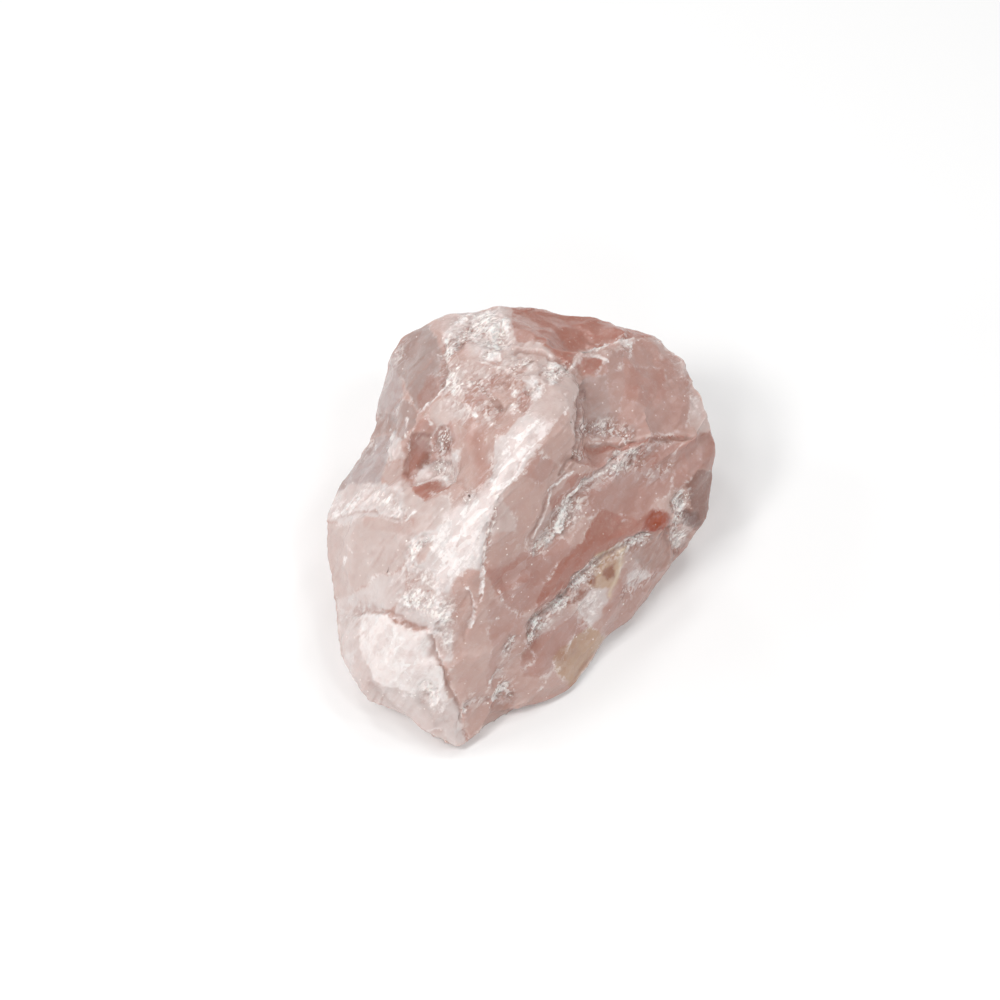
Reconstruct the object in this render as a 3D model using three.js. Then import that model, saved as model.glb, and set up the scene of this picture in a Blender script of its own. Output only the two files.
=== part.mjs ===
// A rough chunk of rose quartz, broken from the vein and resting on its flattest break.
//
// The stone is one piece with no hollow, and every point of its surface can be seen from its heart, so it is
// made as a net stretched over its corners: the places where fracture faces meet. Corners are listed along the
// ridges, steps and rims that they belong to. The net between them is found on a unit sphere, where the convex
// hull of the corners' directions is the only net that never crosses itself. Each triangle of the net is then
// split, and its inner points are worn a little by noise, except on the bed.
//
// Millimetres, +Z up. The origin is under the middle of the stone, on the plane that it rests on.

import * as THREE from "three";
import { ConvexHull } from "three/addons/math/ConvexHull.js";
import { ImprovedNoise } from "three/addons/math/ImprovedNoise.js";
import { mergeVertices } from "three/addons/utils/BufferGeometryUtils.js";

const heartHeight = 22; // of the stone's heart above its bed
const broadFaceSlope = 35; // degrees that the broad face rises towards the back
const splits = 4; // parts that each edge of the net is split into
const wear = { depth: 0.55, grain: 7 }; // how far noise moves the surface, and the size of its lumps
const bedFade = 4; // height over which the wear fades out above the bed
const roseColour = 0xc79b93;

// Corners on and around the broad face: [across, up, out], from the heart, along the sloping face.
const broadFaceLines = {
  rimTop: [
    [-14.5, 37.5, -9],
    [-7, 38.5, -9],
    [-3.5, 39, -8],
    [4.5, 39.5, -12],
    [16, 38, -14],
    [21, 36.2, -14],
    [24.5, 34.2, -14],
  ],
  rimRight: [
    [30, 30.5, -13],
    [32.5, 25, -12],
    [34, 20.5, -12],
    [35, 16, -13],
    [35, 5.5, -15],
    [34, 1.5, -16],
  ],
  rimBottomRight: [
    [29, -5, -19],
    [25, -11.5, -16],
    [16, -19.5, -11],
    [12.8, -23.8, -8.5],
    [9, -28.2, -6],
    [2, -31, -3],
    [-5, -32, -1],
  ],
  toe: [
    [-6, -35, 0],
    [-11, -38, 2],
    [-15.5, -36.5, 3],
    [-20, -33, 2],
  ],
  rimLeft: [
    [-26.5, -30.5, 1],
    [-30.5, -25.5, 0],
    [-32.5, -21, -2],
    [-33.5, -12.5, -4],
    [-34, -7, -5],
    [-34, 2, -6],
    [-31.5, 9, -8],
    [-27.5, 14.5, -9],
    [-26, 18, -9],
    [-25, 24, -9],
    [-23.5, 30.5, -9],
    [-20.5, 34.5, -9],
  ],
  crown: [
    [-13, 32.5, 2],
    [-7, 29.5, 6],
    [-0.5, 32.5, 3],
    [-2, 36.5, -2],
  ],
  lobeEdge: [
    [4.5, 32, 3.5],
    [9.5, 28, 5],
    [11.5, 24, 7],
    [11, 17, 10],
    [10.5, 11.5, 10],
  ],
  lobeFoot: [
    [9.5, 29.5, -2],
    [12, 24.5, 2],
    [12, 16.5, 5],
  ],
  topHollow: [[7, 35.5, -6]],
  brow: [
    [11, 31.5, 0],
    [18, 34, -5],
    [21, 24.5, -2.5],
  ],
  shelfEdge: [
    [23, 16, 0],
    [32, 16.5, -8],
  ],
  shelfFoot: [
    [12.5, 13.5, 3.5],
    [22.5, 14, -3],
    [31, 14.5, -10],
  ],
  flank: [
    [21, 8.5, -1.5],
    [30, 7, -8],
    [29.5, 0, -11],
  ],
  slantEdge: [
    [6, 6, 12],
    [2, -1.5, 13],
    [-2.5, -11.5, 13.5],
  ],
  slantFoot: [
    [14, 10.5, 4.5],
    [9.5, 3.5, 8],
    [4.5, -3.5, 10],
    [14, -2, 4],
    [2, -12, 9],
  ],
  lowerRidge: [
    [26, 0, -5],
    [18.5, -4, -1],
    [12, -8, 2.5],
    [7, -13, 4],
    [2, -19, 4.5],
    [-2.5, -27, 3],
  ],
  underFace: [
    [17.5, -12.5, -6],
    [9.5, -20, -2],
    [3.5, -27, 0],
  ],
  spine: [
    [7, 21, 13.5],
    [4.5, 17, 16],
    [1.5, 12, 18.5],
    [-2.5, 8, 20],
    [-5, 3.5, 21],
    [-5.5, -4, 19.5],
    [-7, -10.5, 17],
    [-7, -15.5, 14.5],
  ],
  bladeEdge: [
    [-23, -13.5, 9],
    [-15, -17, 12.5],
    [-12.5, -23, 10.5],
    [-9.5, -31, 5.5],
    [-21.5, -21.5, 9],
  ],
  bladeHead: [
    [-20.5, -11.5, 11.5],
    [-14, -15.5, 14],
  ],
  bladeFoot: [
    [-11, -19.5, 10],
    [-8.5, -27.5, 6.5],
    [-7, -32, 2.5],
    [-3.5, -19, 8.5],
  ],
  paleFlank: [
    [-15, -1.5, 15],
    [-19, -7.5, 12.5],
    [-12.5, -10, 16],
    [-12, 2, 17.5],
    [-27, -11.5, 4.5],
    [-28.5, -2.5, 2.5],
    [-20.5, 1.5, 10.5],
    [-28.5, 3, 1.5],
  ],
  shoulder: [
    [-29.5, 5.5, -1.5],
    [-21.5, 8.5, 4.5],
    [-16.5, 5.5, 10.5],
    [-8.5, 6, 16.5],
    [-22, 16, 0.5],
    [-27.5, 9.5, -3.5],
  ],
  hollow: [
    [-18.5, 10.5, 4],
    [-13.5, 9, 6.5],
    [-16.5, 15.5, 5.5],
    [-8.5, 13, 12],
  ],
  leftRidge: [
    [-14, 35, -3],
    [-14.5, 29, 3],
    [-15, 22.5, 7],
    [-18.5, 17.5, 5],
  ],
  summit: [
    [-7, 22, 11],
    [0, 25, 10.5],
    [4.5, 27.5, 8.5],
    [-3.5, 16, 15.5],
  ],
  rightCheek: [
    [4, 8.5, 15],
    [8, 15.5, 13],
    [-1.5, -1.5, 16.5],
    [-3.5, -7.5, 15.5],
  ],
};

// Corners behind and below: [x, y, height above the bed], with x and y from the heart.
const standingLines = {
  back: [
    [-10, 41, 26],
    [4, 42, 25],
    [18, 40, 22],
    [29, 34, 19],
    [34, 26, 14],
    [-22, 36, 24],
    [-25, 27, 17],
    [-30, 14, 13],
    [-31, 2, 9],
    [-29, -10, 4],
    [-24, -19, 1.5],
  ],
  heel: [
    [-24, 24, 6],
    [-14, 36, 9],
    [2, 38, 8],
    [18, 36, 7],
    [30, 24, 6],
    [-27, 8, 4],
  ],
  bed: [
    [-9, -28, 0],
    [3, -20, 0],
    [12, -10, 0],
    [21, 1, 0],
    [25, 9, 0],
    [24, 20, 0],
    [14, 30, 0],
    [0, 32, 0],
    [-14, 30, 0],
    [-21, 18, 0],
    [-23, 4, 0],
    [-21, -10, 0],
    [-17, -22, 0],
  ],
};

// The corners of the broad face, turned onto their slope, then those that stand as listed.
function stoneCorners() {
  const tip = new THREE.Matrix4().makeRotationX(THREE.MathUtils.degToRad(broadFaceSlope));
  const tipped = Object.values(broadFaceLines)
    .flat()
    .map(([across, up, out]) => new THREE.Vector3(across, up, out).applyMatrix4(tip));
  const standing = Object.values(standingLines)
    .flat()
    .map(([x, y, height]) => new THREE.Vector3(x, y, height - heartHeight));
  return [...tipped, ...standing];
}

// The triangles between the corners, as triples of corners that turn anticlockwise from outside.
function netOver(corners) {
  const cornerOf = new Map(corners.map((corner) => [corner.clone().normalize(), corner]));
  const hull = new ConvexHull().setFromPoints([...cornerOf.keys()]);
  return hull.faces.map((face) =>
    [face.edge, face.edge.next, face.edge.prev].map((edge) => cornerOf.get(edge.head().point)),
  );
}

// One triangle split into splits x splits smaller ones.
function splitTriangle([a, b, c]) {
  const at = (i, j) =>
    new THREE.Vector3()
      .addScaledVector(a, 1 - (i + j) / splits)
      .addScaledVector(b, i / splits)
      .addScaledVector(c, j / splits);
  const pieces = [];
  for (let i = 0; i < splits; i++) {
    for (let j = 0; j < splits - i; j++) {
      pieces.push([at(i, j), at(i + 1, j), at(i, j + 1)]);
      if (i + j < splits - 1) pieces.push([at(i + 1, j), at(i + 1, j + 1), at(i, j + 1)]);
    }
  }
  return pieces;
}

// Moves the surface towards or away from the heart by noise, and less near the bed.
function wearSurface(geometry) {
  const noise = new ImprovedNoise();
  const point = new THREE.Vector3();
  const places = geometry.getAttribute("position");
  for (let i = 0; i < places.count; i++) {
    point.fromBufferAttribute(places, i);
    const { x, y, z } = point.clone().divideScalar(wear.grain);
    const fade = THREE.MathUtils.smoothstep(point.z + heartHeight, 0, bedFade);
    const depth = wear.depth * fade * noise.noise(x, y, z);
    point.setLength(point.length() - depth);
    places.setXYZ(i, point.x, point.y, point.z);
  }
}

// Puts the middle of the stone's outline over the origin, and its bed on the plane z = 0.
function setDown(geometry) {
  geometry.computeBoundingBox();
  const { min, max } = geometry.boundingBox;
  geometry.translate(-(min.x + max.x) / 2, -(min.y + max.y) / 2, -min.z);
}

function stoneGeometry() {
  const triangles = netOver(stoneCorners()).flatMap(splitTriangle);
  const loose = new THREE.BufferGeometry().setFromPoints(triangles.flat());
  const geometry = mergeVertices(loose, 1e-3);
  wearSurface(geometry);
  setDown(geometry);
  geometry.computeVertexNormals();
  return geometry;
}

const stone = new THREE.Mesh(
  stoneGeometry(),
  new THREE.MeshStandardMaterial({ color: roseColour, roughness: 0.45, metalness: 0, flatShading: true }),
);
stone.name = "rose_quartz";

export default new THREE.Group().add(stone);
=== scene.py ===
from math import cos, radians, sin

import bmesh
import bpy
import numpy as np
from mathutils import Matrix, Vector, noise


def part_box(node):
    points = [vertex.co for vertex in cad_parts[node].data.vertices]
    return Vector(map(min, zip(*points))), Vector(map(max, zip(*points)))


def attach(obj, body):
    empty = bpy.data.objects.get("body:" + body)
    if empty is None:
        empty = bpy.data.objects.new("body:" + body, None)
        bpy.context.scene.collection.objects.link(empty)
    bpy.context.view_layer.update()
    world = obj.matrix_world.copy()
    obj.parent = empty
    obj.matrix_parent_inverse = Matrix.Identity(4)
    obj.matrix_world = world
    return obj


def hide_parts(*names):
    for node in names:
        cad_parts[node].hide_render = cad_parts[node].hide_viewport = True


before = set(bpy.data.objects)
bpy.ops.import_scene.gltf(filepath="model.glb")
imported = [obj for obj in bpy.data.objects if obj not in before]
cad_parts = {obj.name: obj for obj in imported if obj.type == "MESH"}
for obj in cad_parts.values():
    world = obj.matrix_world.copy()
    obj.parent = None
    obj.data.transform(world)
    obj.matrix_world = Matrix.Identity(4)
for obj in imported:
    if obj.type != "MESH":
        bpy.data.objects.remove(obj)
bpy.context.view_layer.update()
mm = 0.001

# The broad face slopes up to the back. Marks on the stone are placed in its directions, from the heart.
face = {
    "slope": 35,  # degrees above level
    "heart": (0.4923, 0.4334, 0.4858),  # share of the way across the stone's box
    "viewedFrom": 486,  # mm off the heart, where marks on it line up
}
lowest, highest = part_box("rose_quartz")
heart = lowest + Vector(f * s for f, s in zip(face["heart"], highest - lowest))
faceTurn = Matrix.Rotation(radians(face["slope"]), 3, "X")  # columns are across, up and out
faceAxes = np.array(faceTurn)


def shade(red, green, blue):
    # display values from 0 to 255 to the shader's linear colour
    parts = [v / 255 for v in (red, green, blue)]
    return [p / 12.92 if p <= 0.04045 else ((p + 0.055) / 1.055) ** 2.4 for p in parts] + [1]


def inFace(places):
    # metres in the row frame to mm across, up and out of the broad face
    return (places - np.array(heart)) @ faceAxes / mm


def linedUp(places):
    # across and up, where places on the face line up for the viewer
    return places[:, :2] * (face["viewedFrom"] / (face["viewedFrom"] - places[:, 2:]))


def smoothStep(low, high, values):
    t = np.clip((values - low) / (high - low), 0, 1)
    return t * t * (3 - 2 * t)


def wobble(points, size, octaves=2, seed=0):
    # smooth noise from about -1 to 1, with lumps of that size
    shift = (17.3 * seed, 5.1 * seed + 40, 9.7 * seed)
    rows = (points / size + shift).tolist()
    return np.array([noise.fractal(row, 1.0, 2.0, octaves) for row in rows])


def bend(points, far, size, octaves, seeds):
    # how far noise shifts the points, a column for each seed
    return far * np.stack([wobble(points, size, octaves, seed) for seed in seeds], 1)


def strokeCover(points, stroke):
    # 1 along a stroke, half at its half width and 0 outside; each row is a place and then that half width
    cover = np.zeros(len(points))
    rows = np.array(stroke if len(stroke) > 1 else stroke * 2, float)
    for start, end in zip(rows[:-1], rows[1:]):
        span = end[:-1] - start[:-1]
        t = np.clip((points - start[:-1]) @ span / max(span @ span, 1e-9), 0, 1)
        width = start[-1] + t * (end[-1] - start[-1])
        gap = np.linalg.norm(points - start[:-1] - t[:, None] * span, axis=1)
        cover = np.maximum(cover, 0.5 ** ((gap / width) ** 2))
    return cover


def faceCover(points, corners):
    # 1 inside the outline of a fracture face and 0 outside, and 1 along its thin rim
    gap = np.full(len(points), 99.0)
    inside = np.zeros(len(points), bool)
    rows = np.array(corners, float)
    for start, end in zip(rows, np.roll(rows, -1, axis=0)):
        span = end - start
        t = np.clip((points - start) @ span / (span @ span), 0, 1)
        gap = np.minimum(gap, np.linalg.norm(points - start - t[:, None] * span, axis=1))
        if span[1]:
            beside = (points[:, 1] - start[1]) / span[1]
            inside ^= (beside >= 0) & (beside < 1) & (points[:, 0] < start[0] + beside * span[0])
    return smoothStep(-0.2, 0.2, np.where(inside, gap, -gap)), 0.5 ** ((gap / 0.2) ** 2)


# Each mark is a strength and then a stroke through (across, up, half width), in mm on the broad face.
marks = {
    "frost": [  # white, where crystals broke or a healed sheet shows
        (0.85, [(5, 18.9, 1), (2.5, 17.4, 1.9), (-0.5, 15, 2.6), (-1.5, 12, 2.7), (-3, 9.5, 2.1)]),
        (0.85, [(-3, 9.5, 2.1), (-5.5, 6.5, 2.1), (-8, 4, 3), (-10, 1, 3.7), (-11.5, -2.5, 3.5)]),
        (0.8, [(-11.5, -2.5, 3.4), (-13.3, -6, 2.4), (-14.3, -9, 1.2)]),
        (0.75, [(-13.2, 3.2, 1.3), (-10, 4.2, 1.3)]),
        (0.85, [(-14.5, -0.4, 0.7), (-17, -1.1, 0.8), (-19, -2.6, 0.9), (-20, -4.8, 0.8)]),
        (0.5, [(-20.5, -6.3, 1), (-22, -8, 1.2)]),
        (0.5, [(-25.6, -16.5, 2), (-22.5, -18.8, 3.3), (-18.5, -20.5, 3.4)]),
        (0.45, [(-25, -20.5, 2.8), (-20, -23, 3.1), (-17, -24, 2.7)]),
        (0.35, [(-21, -27, 2.5), (-17, -28, 2.5), (-14, -30.5, 2)]),
        (0.7, [(-20, -11.5, 1.8), (-17.5, -13, 2.2), (-14.5, -15, 1.8)]),
        (0.55, [(-13, -13, 1.5), (-12.5, -17.5, 1.2), (-12, -20.5, 0.7)]),
        (0.8, [(-16, -27, 1.2), (-15, -29, 1.2)]),
        (0.95, [(-5.5, 37, 1.2), (-3.4, 36, 1.5), (-3, 34, 1.3), (-4, 32.8, 0.9)]),
        (0.95, [(-6.8, 31.8, 0.7), (-5, 31, 1), (-3.8, 30.4, 0.5)]),
        (0.6, [(-7, 37.5, 1.5), (-7.5, 34.5, 1.3), (-6.5, 32.5, 1.2)]),
        (0.7, [(-9.5, 36.8, 0.5), (-11.5, 35.5, 0.5), (-13.3, 33.4, 0.4), (-13.8, 31, 0.4)]),
        (0.6, [(-10.8, 33.8, 0.35), (-12.4, 32, 0.4), (-12.8, 30, 0.5)]),
        (0.45, [(-12, 27.5, 1.5), (-11.5, 25, 1.8)]),
        (0.5, [(-7, 30.2, 0.3), (-4.5, 29.2, 0.3), (-2, 28.4, 0.4)]),
        (0.6, [(-32, 3.5, 1.5), (-28.5, 5.5, 2), (-24.5, 6.3, 1.8), (-22, 4.2, 1.3)]),
        (0.95, [(-24.3, 6.6, 0.8)]),
        (0.95, [(-21.8, 3.1, 0.4), (-21.2, 4, 0.4)]),
        (0.8, [(-20.5, 2.5, 0.35), (-18.5, 3.9, 0.3)]),
        (0.45, [(2.5, 26, 1.3), (3, 24, 1.1)]),
        (0.6, [(-1.3, 24.5, 0.6)]),
        (0.6, [(-1.2, 21.8, 1.1)]),
        (0.7, [(6, 27, 0.9), (5.8, 29.8, 0.6), (8.3, 28.9, 0.8), (9.5, 28.2, 0.5)]),
        (0.55, [(8.4, 24, 0.4), (8.7, 22, 0.45), (8.6, 20, 0.3)]),
        (0.4, [(10, 23.6, 0.5), (10, 21, 0.4)]),
        (0.55, [(1, 29.2, 0.8), (2, 28.3, 0.6)]),
        (0.85, [(11.2, 31.2, 0.5), (12.5, 31.5, 0.6), (14, 32, 0.8), (14.8, 32.8, 0.4)]),
        (0.8, [(12.8, 30.2, 0.4), (14.5, 29.8, 0.4), (15.6, 29.3, 0.3)]),
        (0.8, [(16, 33, 0.4), (17.5, 33.1, 0.7), (19, 32.8, 1), (20, 32.6, 0.6)]),
        (0.6, [(20, 32, 0.3), (19.6, 30, 0.3)]),
        (0.4, [(17.5, 31, 1.2), (17.5, 28.5, 0.8)]),
        (0.4, [(21, 33, 0.5), (24, 32.3, 0.5), (27, 31, 0.5)]),
        (0.7, [(10.1, 28.8, 0.4), (10.6, 30.2, 0.4)]),
        (0.4, [(30.5, 22.5, 1), (31.5, 20, 1.3), (32, 18.5, 0.8)]),
        (0.35, [(28.5, 30, 0.6), (29.5, 28, 0.5)]),
        (0.4, [(2, 38.4, 0.4), (8, 38.8, 0.4), (14, 38.2, 0.4), (17, 37.2, 0.3)]),
        (0.6, [(-23.4, 17.6, 0.3), (-22.4, 15, 0.4), (-21.8, 12.5, 0.3)]),
        (0.5, [(-20.4, 19.5, 0.25), (-20.6, 17, 0.25), (-19.6, 14, 0.2)]),
        (0.84, [(16.8, 14, 0.25), (18.5, 13.3, 0.5), (20, 13.3, 0.56), (20.8, 13, 0.56)]),
        (0.62, [(22.5, 14.1, 0.25), (23.8, 13.8, 0.31)]),
        (0.72, [(19.8, 11.9, 0.22), (18, 11, 0.28), (16.5, 10.5, 0.25)]),
        (0.62, [(20.8, 10.8, 0.28), (18.5, 10.2, 0.25), (16.7, 10.1, 0.2)]),
        (0.84, [(15.9, 12.6, 0.25)]),
        (0.88, [(15.6, 10.2, 0.22), (13.8, 9, 0.22), (12.3, 8, 0.31), (11, 6.7, 0.31), (10, 5.2, 0.37)]),
        (0.95, [(10, 5.2, 0.37), (9.3, 3.5, 0.56), (8.7, 2, 0.74), (8, 0.5, 0.62), (7.3, -0.3, 0.37)]),
        (0.62, [(6.8, -1, 0.25), (5, -2.1, 0.25), (3.8, -3, 0.31), (3.2, -4.2, 0.25)]),
        (0.72, [(10.3, 9.8, 0.2), (8.5, 8.7, 0.2), (6.7, 7.4, 0.31), (5.4, 6.8, 0.25)]),
        (0.62, [(6, 6.2, 0.2), (5.6, 4.5, 0.2), (4.8, 2.5, 0.22), (3.6, 0.3, 0.22), (2.7, -2, 0.25)]),
        (0.72, [(28, 15, 0.25), (27, 12.7, 0.31)]),
        (0.46, [(26.9, 11, 0.2), (26.5, 8.5, 0.2)]),
        (0.88, [(28.7, 6.2, 0.5), (28.3, 4.8, 0.74), (28.8, 3.6, 0.56)]),
        (0.84, [(28, 2.5, 0.25), (28.4, 0.5, 0.28)]),
        (0.68, [(27.4, -1.4, 0.43), (28.7, -2.2, 0.62), (28.2, -3.6, 0.31)]),
        (0.94, [(20.3, -2.8, 0.31)]),
        (0.84, [(21, -1, 0.25), (22, -0.6, 0.2)]),
        (0.72, [(21.5, -2.3, 0.2), (23, -1.5, 0.2)]),
        (0.65, [(13.6, -5.9, 0.31), (13, -6.8, 0.25)]),
        (0.65, [(11.5, -8.3, 0.43), (12.4, -8.9, 0.25), (10.6, -9.7, 0.37)]),
        (0.65, [(8.2, -12.5, 0.31), (7, -13.3, 0.37)]),
        (0.65, [(4, -15.4, 0.31), (3.3, -16, 0.2)]),
        (0.65, [(3.9, -17, 0.43), (3.2, -18.2, 0.31), (2.3, -19.3, 0.2)]),
        (0.5, [(14.2, -10.9, 0.7), (12.7, -12.6, 1.5), (11, -14.3, 0.9)]),
        (0.52, [(12.5, -12.8, 0.74), (13.2, -14.6, 0.68)]),
        (0.52, [(20.7, -7.6, 0.5), (22, -8.3, 0.56)]),
        (0.46, [(20.2, -9.9, 0.31), (20.2, -8, 0.2)]),
        (0.42, [(25.4, -7.8, 0.31), (24.3, -9.6, 0.31)]),
        (0.58, [(10.2, -18.4, 0.2), (9, -20, 0.31), (8.5, -21.3, 0.2)]),
        (0.58, [(6, -23.8, 0.37), (4.8, -26, 0.22), (3.3, -28, 0.31)]),
        (0.52, [(7.3, -26.6, 0.31)]),
        (0.95, [(-2, -26.8, 0.45), (-2.9, -28.2, 0.5), (-3.9, -29.4, 0.3)]),
        (0.9, [(-8.8, -30, 0.5), (-8.8, -31.3, 0.4)]),
        (0.7, [(-7.3, -15.8, 0.3), (-8.2, -17.2, 0.35)]),
        (0.46, [(9.5, -15.3, 0.2), (7, -17, 0.22), (5.7, -18.5, 0.2)]),
        (0.45, [(-8, -28.2, 1)]),
        (0.5, [(-1.3, -28.6, 0.5)]),
        (0.9, [(-4.5, -30.8, 0.3)]),
        (0.7, [(-0.6, -18.4, 0.3), (-1.1, -19.3, 0.3), (-1.7, -20.6, 0.3)]),
        (0.5, [(-5, -27.2, 0.25), (-3.9, -25.3, 0.25), (-2.6, -24, 0.25)]),
        (0.8, [(-3.3, -15.7, 0.3)]),
        (0.65, [(-5.5, 4, 0.5), (-5.4, 1, 0.5), (-5.7, -2, 0.5), (-5.8, -5, 0.4)]),
        (0.85, [(-5.8, -6.5, 0.5), (-5.8, -8.5, 0.55), (-6, -10, 0.35), (-6.3, -11, 0.25)]),
        (0.6, [(-4.2, 6.6, 0.9), (-3.8, 5.5, 0.9)]),
        (0.35, [(-3, -10.3, 0.25), (-1.8, -13.2, 0.4), (-0.6, -11, 0.25)]),
        (0.45, [(-9.2, -10, 0.25), (-8, -12.3, 0.25), (-7.5, -14.5, 0.25), (-7.5, -16, 0.3)]),
        (0.65, [(-17.8, 9.3, 0.7), (-15.5, 10.2, 1), (-13.5, 10.3, 1)]),
        (0.5, [(-12, 12.5, 0.6), (-11.2, 13.8, 0.7)]),
        (0.6, [(-18.3, 21.1, 0.4), (-16.5, 22.5, 0.5), (-14.8, 24.2, 0.5), (-13, 26.2, 0.7)]),
        (0.5, [(-16.4, 21.5, 0.4), (-16, 18.5, 0.4)]),
        (0.8, [(-9.8, 22, 0.3), (-9, 21.1, 0.3), (-8, 20, 0.4)]),
        (0.6, [(-5.2, 19.3, 0.3), (-6.1, 18, 0.25)]),
        (0.55, [(-5.2, 16.6, 0.5)]),
        (0.5, [(-30, -1.5, 0.3), (-28.7, -3.5, 0.3)]),
        (0.4, [(-29.8, -4.5, 0.4), (-30.3, -6.5, 0.5)]),
        (0.5, [(-15.2, -5.5, 0.9), (-17.5, -8, 1)]),
    ],
    "speck": [  # small and dark
        (1, [(9.5, 18.8, 0.17)]),
        (1, [(-0.3, 10.8, 0.17)]),
        (1, [(-9.5, 6.8, 0.18)]),
        (0.9, [(-7, 30.2, 0.18)]),
        (0.7, [(-23.3, -6, 0.1), (-23.7, -7.1, 0.16)]),
        (0.6, [(-14.6, -18.2, 0.18)]),
        (0.6, [(11.8, 13.9, 0.18)]),
    ],
    "crumble": [  # spots crushed to grains
        (1, [(13.6, -6, 0.9), (11.5, -8.5, 1.2), (10.5, -9.8, 0.8)]),
        (1, [(8, -12.6, 0.9), (6.7, -13.4, 0.9)]),
        (1, [(3.9, -15.5, 0.8), (3.6, -17.5, 1), (2.4, -19.2, 0.5)]),
        (0.9, [(20.3, -2.6, 0.7), (22, -1.5, 0.9)]),
        (0.9, [(28.6, 5.2, 1.4), (28.2, 1, 0.6)]),
        (0.8, [(27.5, -1.5, 0.9), (28.3, -3.5, 0.8)]),
        (0.8, [(10.3, 5, 0.8), (8.8, 2, 1.4)]),
        (0.8, [(17.5, 13.6, 0.8), (20.5, 13, 1.2)]),
        (0.7, [(16.8, 10.5, 0.8), (20.5, 11, 0.8)]),
        (0.7, [(12.3, 7.9, 0.7)]),
        (0.7, [(11, 13, 0.9)]),
        (0.8, [(-14.3, 14.3, 1.1), (-13.5, 16.8, 0.8)]),
        (0.9, [(-14.6, 11, 1)]),
        (0.8, [(-9.2, 6.6, 1.1)]),
        (0.7, [(-16.8, -1.1, 0.8), (-19.3, -3.4, 0.8)]),
        (0.7, [(-20, -12, 1.4), (-17.5, -12.5, 1.4)]),
        (0.8, [(8.5, 28.7, 1.1), (6, 27.2, 0.9)]),
        (0.8, [(-3.3, 34.5, 1.4), (-5.5, 31.4, 1.2)]),
        (0.5, [(-6, 36.5, 1.5), (-9, 35, 1.5), (-12, 32.5, 1.2)]),
        (0.7, [(-13.2, 30.8, 0.9)]),
        (0.6, [(-12, 26, 1.6)]),
        (0.5, [(13, 18, 1.2), (16, 18, 1.5), (18.8, 16.7, 1)]),
        (0.7, [(-1, -18.8, 0.8), (-1.7, -20.5, 0.6)]),
        (0.9, [(-2, -27, 0.6), (-3.2, -28.8, 0.6)]),
        (0.6, [(-1.3, -29, 0.6)]),
        (0.8, [(-8.8, -30.7, 0.8)]),
        (0.7, [(3.3, -3.5, 0.7), (6.5, -0.6, 0.6)]),
        (0.25, [(0, 30, 2.8), (-4, 26, 3), (0, 22.5, 2.5), (-6, 22, 2.5)]),
        (0.7, [(-8, 26.5, 0.5), (-5.5, 24, 0.4), (-4, 22, 0.6)]),
        (0.7, [(1.2, 24.8, 0.6), (3.2, 25.8, 0.5)]),
        (0.6, [(-1, 28.6, 0.7), (1.8, 30, 0.6)]),
        (0.35, [(5.5, 28, 2.2)]),
        (0.4, [(-16, -28, 1.4)]),
    ],
    "busy": [  # broken into many small chips
        (0.7, [(-13, 26, 2.6), (-7, 27, 3.2), (-1, 29, 3), (1, 24, 3)]),
        (0.6, [(-12, 22, 2.5), (-6, 21, 3), (-4.5, 17, 2)]),
        (0.9, [(-5, 35, 3), (-9, 35, 1.5), (-13, 32, 1.2)]),
        (0.9, [(5, 28.5, 1.8), (9, 28.3, 1)]),
        (0.8, [(-14.3, 16, 1.8), (-13.5, 11.5, 1.8)]),
        (0.8, [(-19, -1.5, 1.5), (-19.5, -5, 2), (-18, -9, 2.8), (-14, -14, 2.8), (-12.5, -19, 1.8)]),
        (0.6, [(-24, 6.5, 2.4), (-21, 3.5, 1.5)]),
        (0.5, [(-29, -14, 2.5)]),
        (0.5, [(-16, -28, 1.8), (-13, -33, 1.4)]),
        (0.4, [(-22, -19, 3)]),
        (0.8, [(12, 17.5, 1.1), (16, 18, 1.3), (19, 16.8, 1)]),
        (0.9, [(17, 12.5, 1.5), (21, 12, 1.8), (14, 9, 1.2), (10, 4, 1.8), (8, 0.5, 1.5), (4, -3, 1.2)]),
        (0.7, [(22, 9, 1.4), (26.8, 11, 1.1)]),
        (0.9, [(28.3, 4.5, 1.5), (28.2, -2.5, 1.5)]),
        (0.9, [(22, -1.5, 1.2), (13, -7, 1.5), (11, -9, 1.6), (7, -13, 1.6), (3.5, -17, 1.8)]),
        (0.7, [(21, -8, 1.8), (19, -11, 1.8), (24.5, -8, 1)]),
        (0.6, [(13.5, -12, 1.6), (12, -14, 1.2)]),
        (0.45, [(13, -13, 2), (10, -18.5, 1.5), (5.5, -24.5, 1.5)]),
        (0.8, [(-1.5, -19.5, 1.2), (-3, -27.5, 1.6), (-1, -28.8, 1), (-8.8, -30, 1.2)]),
        (0.7, [(-5.5, 14, 1.3), (-6, 9, 0.8), (-3.5, 6, 0.9), (-5.5, -6, 0.9)]),
        (0.5, [(31, 21, 1.8), (27.5, 30.5, 1.5)]),
        (0.45, [(-21, 33, 2.2), (-22, 25, 2.5), (-22, 16, 2.2), (-26, 12, 2)]),
        (0.7, [(13, 31, 1.4), (18.5, 32, 1.8)]),
        (0.25, [(4, -3, 2), (-1, -10, 2), (-4, -17, 2), (-3, -23, 2)]),
    ],
    "calm": [  # broken clean and smooth
        (0.8, [(2, 9, 3), (1.5, 3, 3), (4, 12, 2.5)]),
        (0.9, [(21, 27, 4), (24, 21, 4)]),
        (0.7, [(-28, -4, 3.5), (-29, -8, 3)]),
        (0.7, [(-22, -20, 4.5)]),
        (0.8, [(-8, -22, 3)]),
        (0.8, [(8, 34, 3), (13, 35, 2)]),
        (0.7, [(-26, 12.5, 3)]),
        (0.6, [(15, -1, 3), (9, -5, 3)]),
        (0.7, [(-19, 13, 2)]),
        (0.6, [(22, 6, 2.5)]),
    ],
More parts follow.
